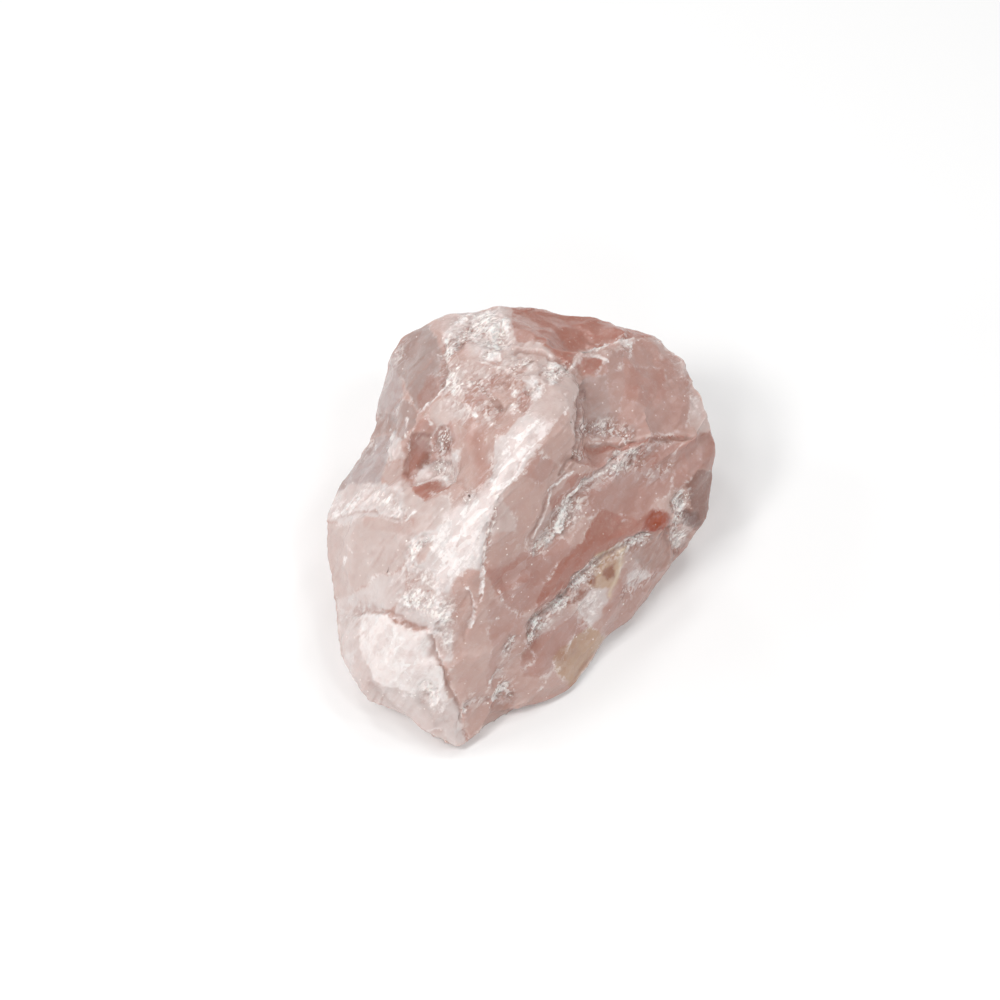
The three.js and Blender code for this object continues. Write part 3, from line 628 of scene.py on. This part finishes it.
def fineSurface():
    # the CAD stone, merged, remeshed finely and melted a little
    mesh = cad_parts["rose_quartz"].data.copy()
    shape = bmesh.new()
    shape.from_mesh(mesh)
    bmesh.ops.remove_doubles(shape, verts=shape.verts, dist=0.001 * mm)
    shape.to_mesh(mesh)
    shape.free()
    rough = bpy.data.objects.new("roughStone", mesh)
    bpy.context.collection.objects.link(rough)
    remesh = rough.modifiers.new("Fine", "REMESH")
    remesh.mode = "VOXEL"
    remesh.voxel_size = stone["spacing"] * mm
    evaluated = rough.evaluated_get(bpy.context.evaluated_depsgraph_get())
    fine = bpy.data.meshes.new_from_object(evaluated)
    bpy.data.objects.remove(rough)
    shape = bmesh.new()
    shape.from_mesh(fine)
    soften(shape, stone["melt"][0])
    shape.normal_update()
    viewer = heart + faceTurn @ Vector((0, 0, face["viewedFrom"])) * mm
    inFront = [f for f in shape.faces if f.normal.dot((viewer - f.calc_center_median()).normalized()) > -0.2]
    edges = list({edge for f in inFront for edge in f.edges})
    bmesh.ops.subdivide_edges(shape, edges=edges, cuts=1, use_grid_fill=True)
    soften(shape, stone["melt"][1])
    shape.to_mesh(fine)
    shape.free()
    fine.materials.clear()
    return fine


def vectorsOf(mesh, kind):
    flat = np.empty(len(mesh.vertices) * 3)
    mesh.vertices.foreach_get(kind, flat)
    return flat.reshape(-1, 3)


def edgesOf(mesh):
    flat = np.empty(len(mesh.edges) * 2, np.int64)
    mesh.edges.foreach_get("vertices", flat)
    return flat.reshape(-1, 2)


def spread(values, edges, passes):
    # evens out rows of values over neighbouring points
    count = np.bincount(edges.ravel(), minlength=len(values))[:, None]
    for _ in range(passes):
        total = np.zeros_like(values)
        for column in range(values.shape[1]):
            total[:, column] += np.bincount(edges[:, 0], values[edges[:, 1], column], len(values))
            total[:, column] += np.bincount(edges[:, 1], values[edges[:, 0], column], len(values))
        values = 0.5 * values + 0.5 * total / count
    return values


def unit(rows):
    return rows / np.maximum(np.linalg.norm(rows, axis=1, keepdims=True), 1e-12)


def softNormals(mesh, edges, passes):
    # normals evened out, so that points that move along them don't cross
    return unit(spread(vectorsOf(mesh, "normal"), edges, passes))


def sharpness(mesh, edges, passes):
    # how far each point stands out of its surroundings, in mm: ridges above 0 and hollows below
    places = vectorsOf(mesh, "co")
    return ((places - spread(places, edges, passes)) * softNormals(mesh, edges, passes)).sum(1) / mm


def cells(points, size, steep, seed):
    # bowls round scattered centres: height in the nearest one and in the next, and the nearest one's chance
    grid = points / size
    corner = np.floor(grid).astype(np.int64)
    chances = np.random.default_rng(seed).uniform(-1, 1, (4096, 6))
    first = np.full(len(points), 9.0)
    second, chance = first.copy(), first.copy()
    for step in np.ndindex(3, 3, 3):
        cell = corner + step - 1
        row = chances[(cell * (73856093, 19349663, 83492791)).sum(1) & 4095]
        away = grid - cell - 0.5 - 0.4 * row[:, :3]
        rise = (away * away).sum(1) + steep * (away * row[:, 3:]).sum(1)
        second = np.minimum(second, np.maximum(first, rise))
        chance = np.where(rise < first, row[:, 0], chance)
        first = np.minimum(first, rise)
    return first, second, chance


def scoopPlaces(places):
    # bent places, longer along the sheets, for scoops and their colours
    sheets = places @ np.array(sheetTurn)
    return sheets * stone["scoopStretch"] + bend(places, *stone["scoopBend"])


def scoops(points, size, deep, lean, seed):
    # depth of shallow hollows side by side, and 1 on the crisp ridges where they meet
    first, second, _ = cells(points, size, lean * size / deep, seed)
    return deep * (0.6 - first), smoothStep(0.45 / size, 0.1 / size, second - first)


def ledgeDepth(seen, way):
    # mm: deepest just below the broken edge, and 0 where the lower side has risen again
    deep, reach, points = way
    nearest = np.full(len(seen), 99.0)
    side = np.zeros(len(seen))
    rows = np.array(points, float)
    for start, end in zip(rows[:-1], rows[1:]):
        span = end - start
        t = np.clip((seen - start) @ span / (span @ span), 0, 1)
        away = seen - start - t[:, None] * span
        gap = np.linalg.norm(away, axis=1)
        closer = gap < nearest
        nearest = np.where(closer, gap, nearest)
        side = np.where(closer, away[:, 0] * span[1] - away[:, 1] * span[0], side)
    ends = np.linalg.norm(np.stack([seen - rows[0], seen - rows[-1]]), axis=2).min(0)
    fall = np.clip(1 - nearest / reach, 0, 1) ** 1.5
    return deep * fall * smoothStep(-0.02, 0.12, np.sign(side) * nearest) * smoothStep(0, 1.5, ends)


def paintMarks(mesh, edges):
    # how far each point is covered by each mark and sunk by a ledge, and how far it is in sight
    places = inFace(vectorsOf(mesh, "co"))
    seen = linedUp(places)
    toViewer = unit(np.array([0, 0, face["viewedFrom"]]) - places)
    facing = ((softNormals(mesh, edges, 4) @ faceAxes) * toViewer).sum(1)
    inSight = spread(smoothStep(-0.1, 0.2, facing)[:, None], edges, 6)[:, 0]
    ragged = seen + bend(places, *stone["markBend"])
    painted = {}
    for name, strokes in marks.items():
        cover = np.zeros(len(places))
        for strength, stroke in strokes:
            cover = np.maximum(cover, strength * strokeCover(seen if name == "speck" else ragged, stroke))
        painted[name] = cover * inSight
    painted["round"] = spread(painted["round"][:, None], edges, 20)[:, 0]
    painted["ledge"] = np.zeros(len(places))
    broken = seen + bend(places, *stone["ledgeBend"])
    for way in ledges:
        painted["ledge"] = np.maximum(painted["ledge"], ledgeDepth(broken, way) * inSight)
    return painted, inSight


def paintTones(mesh, inSight):
    # the colour inside the stone: its faces and strokes in sight, and faces by chance elsewhere
    places = inFace(vectorsOf(mesh, "co"))
    seen = linedUp(places)
    ragged = seen + bend(places, *stone["toneBend"])
    colour = np.tile(np.array(quartz["rose"]), (len(places), 1))
    hidden = colour.copy()
    # pale lines along the face outlines: partly frost, partly painted highlight
    rimFrostAndHighlights = np.zeros(len(places))
    for name, strength, points in tones:
        if len(points[0]) == 2:
            cover, rimFrostAndHighlight = faceCover(ragged, points)
            rimFrostAndHighlights = np.maximum(rimFrostAndHighlights, strength * rimFrostAndHighlight)
        else:
            cover = strokeCover(ragged, points)
        colour += (np.array(quartz[name]) - colour) * (strength * cover)[:, None]
    rimFrostAndHighlights *= smoothStep(-0.1, 0.5, wobble(places, 3.5, 2, 24)) * inSight
    bent = scoopPlaces(vectorsOf(mesh, "co") / mm)
    for size, deep, lean in stone["scoops"]:
        first, second, chance = cells(bent, size, lean * size / deep, int(10 * size))
        share = smoothStep(0, 0.5 / size, second - first) * (0.5 if size < 2 else 1)
        for name, low, high, strength in stone["hiddenTones"]:
            cover = ((chance >= low) & (chance < high)) * share
            hidden += (np.array(quartz[name]) - hidden) * (strength * cover)[:, None]
    colour += (hidden - colour) * (1 - inSight)[:, None]
    mesh.attributes.new("tone", "FLOAT_COLOR", "POINT").data.foreach_set("color", colour.ravel())
    return rimFrostAndHighlights


def markOutOfSight(mesh, painted, inSight):
    # the sides, back and bed get marks of the same kinds, laid by chance along the sheets
    rng = np.random.default_rng(stone["seed"])
    places = vectorsOf(mesh, "co") / mm
    along = np.array(sheetTurn.col[1])
    hidden = np.flatnonzero(inSight < 0.5)
    ragged = places + bend(places, *stone["hiddenBend"])
    for name, count, strength, broad in stone["hiddenMarks"]:
        cover = np.zeros(len(places))
        for start in places[rng.choice(hidden, count)]:
            way = along * rng.choice([-1, 1]) + rng.normal(0, 0.25, 3)
            length, width = rng.uniform(2, 9), broad * rng.uniform(0.5, 1.4)
            stroke = [(*start, width), (*(start + way * length), width * rng.uniform(0.3, 1))]
            cover = np.maximum(cover, strength * rng.uniform(0.6, 1.1) * strokeCover(ragged, stroke))
        painted[name] = np.maximum(painted[name], np.clip(cover, 0, 1) * (1 - inSight))


def keepField(mesh, name, values):
    mesh.attributes.new(name, "FLOAT", "POINT").data.foreach_set("value", np.clip(values, 0, 1))


def carve(mesh, edges, painted):
    # works in mm; everything moves along the normals of the rough shape, and less near the bed
    places = vectorsOf(mesh, "co") / mm
    evened = spread(places, edges, stone["rounding"])
    places += (evened - places) * painted["round"][:, None]
    mesh.vertices.foreach_set("co", (places * mm).ravel())
    mesh.update()
    normals = softNormals(mesh, edges, 3)
    sheets = places @ np.array(sheetTurn)
    liveliness = stone["lively"]
    lively = liveliness["base"] + liveliness["chance"] * wobble(places, liveliness["patch"], 2, 8)
    for name, share in stone["livelyMarks"].items():
        lively += share * painted[name]
    lively = np.clip(lively, liveliness["least"], liveliness["most"])
    keepField(mesh, "lively", lively / liveliness["most"])

    depth, size = stone["swell"]
    inwards = depth * wobble(places, size, 3, 1)
    # steps rise slowly across the sheets and fall back sharply, bold in some stretches only
    height, gap = stone["steps"]
    stair = sheets[:, 0] / gap + 0.9 * wobble(sheets * (1, 0.35, 0.35), 4, 2, 2)
    bold = smoothStep(0.0, 0.6, wobble(sheets * (1, 0.3, 0.5), 5, 2, 9)) * (1 - 0.7 * painted["calm"])
    stair -= np.floor(stair)
    inwards += height * bold * stair * smoothStep(1.0, 0.8, stair)
    depth, gap = stone["ribs"]
    inwards += depth * lively * (1 - np.abs(wobble(sheets * (1, 0.16, 0.4), gap, 2, 10)))
    inwards += painted["ledge"]
    # broad scoops are everywhere, small ones where the face is lively
    bent = scoopPlaces(places)
    # pale lines on the ridges where scoops meet: partly frost, partly painted highlight
    rimFrostAndHighlight = np.zeros(len(places))
    for size, deep, lean in stone["scoops"]:
        share = 1 if size > 5 else lively
        depth, ridge = scoops(bent, size, deep, lean, int(10 * size))
        inwards += share * depth
        rimFrostAndHighlight = np.maximum(rimFrostAndHighlight, ridge * share * smoothStep(-0.3, 0.5, wobble(places, 3.5, 2, int(size) + 20)))
    painted["rimFrostAndHighlight"] = np.maximum(painted["rimFrostAndHighlight"], rimFrostAndHighlight * smoothStep(0.5, 1.2, lively))
    crumble = np.clip(painted["crumble"] * 1.3 - 0.1, 0, 1)
    inwards += crumble * scoops(places, *stone["grains"], 5)[0]
    places = places - normals * (inwards * smoothStep(0, stone["bedFade"], places[:, 2]))[:, None]

    # stretched back to the size of its rough shape, a hair inside it
    low = np.array(lowest) / mm + stone["hair"]
    high = np.array(highest) / mm - stone["hair"]
    low[2] = 0
    places = low + (places - places.min(0)) * ((high - low) / np.ptp(places, 0))
    mesh.vertices.foreach_set("co", (places * mm).ravel())
    mesh.update()


def makeStone():
    # marks and tones are placed on the smooth surface, then the surface is carved under them
    mesh = fineSurface()
    edges = edgesOf(mesh)
    print("stone: fine surface of", sum(len(f.vertices) - 2 for f in mesh.polygons), "triangles")
    painted, inSight = paintMarks(mesh, edges)
    painted["rimFrostAndHighlight"] = paintTones(mesh, inSight)
    markOutOfSight(mesh, painted, inSight)
    print("stone: marks placed")
    carve(mesh, edges, painted)
    print("stone: carved")
    fineEdge = sharpness(mesh, edges, 4)
    broadEdge = sharpness(mesh, edges, 40)
    for name, cover in painted.items():
        if name not in ("busy", "calm", "round", "ledge"):
            keepField(mesh, name, cover)
    # frost gathers on edges, where it also stands in for highlights, and painted shade deepens the colour in
    # hollows
    keepField(mesh, "edge", np.clip(fineEdge * 9, 0, 1) + 0.6 * np.clip(broadEdge * 1.6 - 0.15, 0, 1))
    keepField(mesh, "hollowShade", np.clip(-fineEdge * 7, 0, 1) + np.clip(-broadEdge * 1.2 - 0.1, 0, 1))
    mesh.polygons.foreach_set("use_smooth", np.ones(len(mesh.polygons), bool))
    piece = bpy.data.objects.new("rose_quartz_stone", mesh)
    bpy.context.collection.objects.link(piece)
    return piece


class NodeSheet:
    # a material's node tree, with short ways to add and join nodes
    def __init__(self, tree):
        self.tree = tree

    def add(self, kind, **values):
        node = self.tree.nodes.new(kind)
        for name, value in values.items():
            setattr(node, name, value)
        return node

    def feed(self, socket, value):
        if isinstance(value, bpy.types.NodeSocket):
            self.tree.links.new(value, socket)
        else:
            socket.default_value = value

    def math(self, operation, a, b, clamp=False):
        node = self.add("ShaderNodeMath", operation=operation, use_clamp=clamp)
        self.feed(node.inputs[0], a)
        self.feed(node.inputs[1], b)
        return node.outputs[0]

    def times(self, a, b):
        return self.math("MULTIPLY", a, b)

    def plus(self, a, b, clamp=False):
        return self.math("ADD", a, b, clamp)

    def texture(self, kind, place, size, **values):
        # size in mm
        node = self.add(kind, **values)
        self.feed(node.inputs["Vector"], place)
        self.feed(node.inputs["Scale"], 1 / (size * mm))
        return node

    def ramp(self, value, low, high, to=(0.0, 1.0)):
        node = self.add("ShaderNodeMapRange", interpolation_type="SMOOTHSTEP")
        self.feed(node.inputs["Value"], value)
        self.feed(node.inputs["From Min"], low)
        self.feed(node.inputs["From Max"], high)
        self.feed(node.inputs["To Min"], to[0])
        self.feed(node.inputs["To Max"], to[1])
        return node.outputs["Result"]

    def mix(self, under, over, cover):
        node = self.add("ShaderNodeMix", data_type="RGBA")
        self.feed(node.inputs[0], cover)
        self.feed(node.inputs[6], under)
        self.feed(node.inputs[7], over)
        return node.outputs[2]

    def field(self, name):
        return self.add("ShaderNodeAttribute", attribute_name=name).outputs["Fac"]

    def noise(self, place, size, detail, roughness):
        node = self.texture("ShaderNodeTexNoise", place, size)
        self.feed(node.inputs["Detail"], detail)
        self.feed(node.inputs["Roughness"], roughness)
        return node.outputs["Fac"]

    def alongSheets(self, place, stretch):
        # the place turned to the healed sheets, where patterns are stretched across, along and the third way
        node = self.add("ShaderNodeMapping", vector_type="TEXTURE")
        self.feed(node.inputs["Vector"], place)
        node.inputs["Rotation"].default_value = sheetTurn.to_euler()
        node.inputs["Scale"].default_value = stretch
        return node.outputs["Vector"]

    def bent(self, moved, place, size, deep):
        # the moved place shifted by up to that many mm by noise on the place
        node = self.add("ShaderNodeVectorMath", operation="MULTIPLY_ADD")
        self.feed(node.inputs[0], self.texture("ShaderNodeTexNoise", place, size).outputs["Color"])
        node.inputs[1].default_value = [deep * mm] * 3
        self.feed(node.inputs[2], moved)
        return node.outputs[0]

    def chips(self, place, size):
        # height in mm over flat chips of that size, each leaning its own way, and each one's chance
        node = self.texture("ShaderNodeTexVoronoi", place, size)
        away = self.add("ShaderNodeVectorMath", operation="SUBTRACT")
        self.feed(away.inputs[0], place)
        self.feed(away.inputs[1], node.outputs["Position"])
        lean = self.add("ShaderNodeVectorMath", operation="SUBTRACT")
        self.feed(lean.inputs[0], node.outputs["Color"])
        lean.inputs[1].default_value = (0.5, 0.5, 0.5)
        rise = self.add("ShaderNodeVectorMath", operation="DOT_PRODUCT")
        self.feed(rise.inputs[0], away.outputs[0])
        self.feed(rise.inputs[1], lean.outputs[0])
        chance = self.add("ShaderNodeSeparateColor")
        self.feed(chance.inputs[0], node.outputs["Color"])
        return self.times(rise.outputs["Value"], 1 / mm), chance.outputs[2]

    def glintCreases(self, place, size):
        # thin lines between those chips, where highlights are painted
        node = self.texture("ShaderNodeTexVoronoi", place, size, feature="DISTANCE_TO_EDGE")
        return self.ramp(node.outputs["Distance"], 0.12 / size, 0.03 / size)

    def cells(self, place, size):
        # distance from the middle of each cell, as a share of its size, and its own chance
        node = self.texture("ShaderNodeTexVoronoi", place, size)
        chance = self.add("ShaderNodeSeparateColor")
        self.feed(chance.inputs[0], node.outputs["Color"])
        return node.outputs["Distance"], chance.outputs[0]


def quartzMaterial():
    material = bpy.data.materials.new("roseQuartz")
    material.use_nodes = True
    sheet = NodeSheet(material.node_tree)
    shader = material.node_tree.nodes["Principled BSDF"]
    place = sheet.add("ShaderNodeTexCoord").outputs["Object"]

    chipPlace = sheet.bent(sheet.alongSheets(place, quartz["chipStretch"]), place, *quartz["chipBend"])
    flakes, flakeChance = sheet.chips(chipPlace, quartz["flake"])
    shards, shardChance = sheet.chips(chipPlace, quartz["shard"])
    crumbs, crumbChance = sheet.chips(chipPlace, quartz["crumb"])

    veilPlace = sheet.alongSheets(place, quartz["veilStretch"])
    cloud = sheet.noise(place, *quartz["cloud"])
    haze = sheet.noise(place, *quartz["haze"])
    mottle = sheet.noise(place, *quartz["mottle"])
    cluster = sheet.noise(place, *quartz["cluster"])
    veils = sheet.noise(veilPlace, *quartz["veil"])
    threads = sheet.noise(veilPlace, *quartz["thread"])
    fleckPlace = sheet.bent(place, place, *quartz["fleckBend"])
    fleckGap, fleckChance = sheet.cells(fleckPlace, quartz["fleck"])
    grainGap, grainChance = sheet.cells(fleckPlace, quartz["grain"])
    paintedSparkGap, paintedSparkChance = sheet.cells(place, quartz["paintedSpark"])

    # the colour inside, clouded and veiled, darkened by painted shade in hollows, and broken into chips where
    # the face is lively; pale lines on ridges are partly frost and partly painted highlight, and the chip
    # edges get painted highlights
    lively = sheet.field("lively")
    colour = sheet.add("ShaderNodeAttribute", attribute_name="tone").outputs["Color"]
    colour = sheet.mix(colour, quartz["dusk"], sheet.ramp(cloud, 0.4, 0.7, (0, 0.14)))
    colour = sheet.mix(colour, quartz["milk"], sheet.ramp(cloud, 0.45, 0.25, (0, 0.15)))
    # painted shade: dusk deepens the hollows
    colour = sheet.mix(colour, quartz["dusk"], sheet.times(sheet.field("hollowShade"), 0.4))
    for value, low, high, strength, name in [
        (haze, 0.5, 0.8, 0.2, "milk"),
        (veils, 0.5, 0.75, 0.2, "milk"),
        (veils, 0.48, 0.25, 0.2, "dusk"),
        (threads, 0.54, 0.78, 0.34, "milk"),
        (flakeChance, 0.6, 0.9, 0.15, "milk"),
        (flakeChance, 0.4, 0.1, 0.12, "dusk"),
        (shardChance, 0.6, 0.9, 0.26, "milk"),
        (shardChance, 0.4, 0.1, 0.22, "dusk"),
    ]:
        cover = sheet.ramp(value, low, high, (0, strength))
        cover = sheet.times(cover, sheet.ramp(lively, 0.15, 0.85, (0.12, 1)))
        colour = sheet.mix(colour, quartz[name], cover)
    colour = sheet.mix(colour, quartz["milk"], sheet.ramp(mottle, 0.52, 0.7, (0, 0.1)))
    for value, low, high, strength, name in [
        (mottle, 0.56, 0.7, 0.25, "frost"),
        (mottle, 0.44, 0.32, 0.2, "dusk"),
        (crumbChance, 0.8, 0.86, 0.85, "frost"),
        (crumbChance, 0.2, 0.14, 0.5, "dusk"),
    ]:
        cover = sheet.times(sheet.ramp(value, low, high, (0, strength)), sheet.ramp(lively, 0.4, 0.95))
        colour = sheet.mix(colour, quartz[name], cover)
    # pale lines on ridges and face outlines: partly frost, partly painted highlight
    rimFrostAndHighlights = sheet.times(sheet.field("rimFrostAndHighlight"), sheet.ramp(mottle, 0.42, 0.56, (0.05, 0.7)))
    colour = sheet.mix(colour, quartz["frost"], rimFrostAndHighlights)
    # painted highlights along the edges of the chips
    glintCreases = sheet.times(sheet.glintCreases(chipPlace, quartz["flake"]), sheet.ramp(haze, 0.5, 0.56))
    glintCreases = sheet.times(glintCreases, sheet.ramp(lively, 0.35, 0.9, (0, 0.5)))
    colour = sheet.mix(colour, quartz["paintedGlint"], glintCreases)

    # frost is whole where it is thick, and ragged along the sheets where it is thin
    grip = sheet.ramp(veils, 0.36, 0.64, (0, 0.3))
    for pattern, share in [(threads, 0.12), (mottle, 0.28), (haze, 0.3)]:
        grip = sheet.plus(grip, sheet.ramp(pattern, 0.36, 0.64, (0, share)))
    # frost on the edges also stands in for highlights along them
    frost = sheet.plus(sheet.field("frost"), sheet.times(sheet.field("edge"), 0.3))
    frost = sheet.plus(frost, sheet.times(sheet.field("crumble"), 0.12), True)
    frostCover = sheet.ramp(sheet.math("SUBTRACT", frost, grip), -0.25, 0.35)
    frostCover = sheet.times(frostCover, sheet.ramp(frost, 0, 0.2))
    frostColour = quartz["frost"]
    for value, low, high, strength in [
        (mottle, 0.5, 0.66, 0.6),
        (veils, 0.5, 0.64, 0.5),
        (flakeChance, 0.5, 0.9, 0.6),
        (shardChance, 0.6, 0.9, 0.6),
    ]:
        frostColour = sheet.mix(frostColour, quartz["lilac"], sheet.ramp(value, low, high, (0, strength)))
    # painted glints in the frost
    paintedSparkle = sheet.times(sheet.ramp(crumbChance, 0.5, 0.7, (0, 0.8)), sheet.ramp(lively, 0.3, 0.8))
    frostColour = sheet.mix(frostColour, quartz["paintedGlint"], paintedSparkle)
    colour = sheet.mix(colour, frostColour, frostCover)
    # painted shade in the hollows, tinted rose so that shaded frost stays pink
    colour = sheet.mix(colour, quartz["rose"], sheet.times(sheet.field("hollowShade"), 0.5))

    # flecks, painted glints as bright grains and dark grains in crumbled spots, painted sparks of light, and
    # the dark specks
    flecks = sheet.times(sheet.ramp(fleckChance, 0.72, 0.8), sheet.ramp(fleckGap, 0.36, 0.16))
    flecks = sheet.times(flecks, sheet.ramp(cluster, 0.5, 0.62, (0, 0.6)))
    flecks = sheet.times(flecks, sheet.ramp(lively, 0.2, 0.7, (0.04, 1)))
    colour = sheet.mix(colour, quartz["frost"], flecks)
    crumble = sheet.field("crumble")
    paintedGlintGrains = sheet.times(sheet.ramp(grainChance, 0.6, 0.7), sheet.ramp(grainGap, 0.55, 0.3))
    colour = sheet.mix(colour, quartz["paintedGlint"], sheet.times(paintedGlintGrains, sheet.ramp(crumble, 0.15, 0.7)))
    dark = sheet.times(sheet.ramp(grainChance, 0.22, 0.14), sheet.ramp(grainGap, 0.5, 0.3))
    dark = sheet.times(dark, sheet.ramp(crumble, 0.3, 0.9, (0, 0.6)))
    colour = sheet.mix(colour, quartz["umber"], dark)
    paintedSpark = sheet.times(sheet.ramp(paintedSparkChance, 0.5, 0.55), sheet.ramp(paintedSparkGap, 0.14, 0.06))
    paintedSpark = sheet.times(paintedSpark, sheet.ramp(lively, 0.1, 0.6, (0.3, 1)))
    colour = sheet.mix(colour, quartz["paintedGlint"], sheet.times(paintedSpark, 0.95))
    colour = sheet.mix(colour, quartz["speck"], sheet.ramp(sheet.field("speck"), 0.3, 0.8))
    sheet.feed(shader.inputs["Base Color"], colour)

    # smooth faces are polished and even, lively ones are made of leaning chips
    rugged = sheet.plus(sheet.times(lively, 0.6), crumble)
    rugged = sheet.plus(rugged, sheet.times(frostCover, 0.1), True)
    polish = sheet.ramp(sheet.math("SUBTRACT", frostCover, crumble), 0, 1, (0.1, 0.24))
    polish = sheet.plus(polish, sheet.ramp(mottle, 0.3, 0.7, (-0.03, 0.06)))
    sheet.feed(shader.inputs["Roughness"], polish)

    height = sheet.times(flakes, sheet.ramp(rugged, 0, 1, (0.03, 0.5)))
    for chip, strength in [(shards, 1.0), (crumbs, 1.5)]:
        chip = sheet.times(chip, sheet.ramp(rugged, 0.15, 1, (0.02, strength)))
        height = sheet.plus(height, chip)
    height = sheet.plus(height, sheet.times(threads, 0.1))
    height = sheet.plus(height, sheet.times(mottle, 0.1))
    bump = sheet.add("ShaderNodeBump")
    sheet.feed(bump.inputs["Height"], height)
    bump.inputs["Strength"].default_value = 1.0
    bump.inputs["Distance"].default_value = 1.0 * mm
    sheet.feed(shader.inputs["Normal"], bump.outputs["Normal"])

    for name, value in [
        ("IOR", 1.54),
        ("Specular IOR Level", 0.55),
        ("Subsurface Weight", quartz["glow"]),
        ("Subsurface Radius", quartz["glowColours"]),
        ("Subsurface Scale", quartz["glowDepth"] * mm),
    ]:
        shader.inputs[name].default_value = value
    return material


studio = {
    "lens": 100,
    "aim": (-3.5, 5.25),  # mm across and up the broad face from the heart
    "floor": shade(240, 240, 240),
    "floorReach": 1.5,  # m from the middle
    "sky": 0.34,
    "keyLamp": {"place": (-0.26, -0.16, 0.42), "size": 0.12, "watts": 0.8, "colour": (1, 0.99, 0.98)},
    # a ring of small lamps, each with its glints on the chips
    "sparkLamp": {"size": 0.085, "watts": 0.22, "colour": (1, 1, 1)},
    "sparkLamps": 12,
    "sparkRises": (20, 65, 40),  # degrees above level, in turn
    "sparkReach": 0.5,  # m from the stone
}


def makeCamera():
    camera = bpy.data.objects.new("camera", bpy.data.cameras.new("camera"))
    camera.data.lens = studio["lens"]
    camera.data.sensor_width = 36
    camera.data.clip_start = 0.01
    camera.rotation_euler = faceTurn.to_euler()
    camera.location = heart + faceTurn @ Vector((*studio["aim"], face["viewedFrom"])) * mm
    bpy.context.collection.objects.link(camera)
    bpy.context.scene.camera = camera


def softLamp(name, place, size, watts, colour):
    lamp = bpy.data.objects.new(name, bpy.data.lights.new(name, "AREA"))
    lamp.data.shape = "DISK"
    lamp.data.size = size
    lamp.data.energy = watts
    lamp.data.color = colour
    lamp.location = place
    lamp.rotation_euler = (heart - Vector(place)).to_track_quat("-Z", "Y").to_euler()
    bpy.context.collection.objects.link(lamp)


def makeStudio():
    shape = bmesh.new()
    bmesh.ops.create_grid(shape, x_segments=1, y_segments=1, size=studio["floorReach"])
    mesh = bpy.data.meshes.new("floor")
    shape.to_mesh(mesh)
    shape.free()
    floor = bpy.data.objects.new("floor", mesh)
    bpy.context.collection.objects.link(floor)
    material = bpy.data.materials.new("paleFloor")
    material.use_nodes = True
    shader = material.node_tree.nodes["Principled BSDF"]
    shader.inputs["Base Color"].default_value = studio["floor"]
    shader.inputs["Roughness"].default_value = 0.7
    shader.inputs["Specular IOR Level"].default_value = 0.2
    mesh.materials.append(material)
    world = bpy.data.worlds.new("softSky")
    world.use_nodes = True
    sky = world.node_tree.nodes["Background"]
    sky.inputs["Color"].default_value = (1, 1, 1, 1)
    sky.inputs["Strength"].default_value = studio["sky"]
    bpy.context.scene.world = world
    softLamp("keyLamp", **studio["keyLamp"])
    count, rises = studio["sparkLamps"], studio["sparkRises"]
    for i in range(count):
        swing = radians(360 / count * (i + 0.5))
        rise = radians(rises[i % len(rises)])
        place = studio["sparkReach"] * Vector((cos(swing) * cos(rise), sin(swing) * cos(rise), sin(rise)))
        softLamp("sparkLamp" + str(i), place, **studio["sparkLamp"])
    bpy.context.scene.view_settings.view_transform = "Standard"


makeCamera()
makeStudio()
print("studio ready")
stonePiece = makeStone()
stonePiece.data.materials.append(quartzMaterial())
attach(stonePiece, "root")
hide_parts("rose_quartz")
print("stone finished")
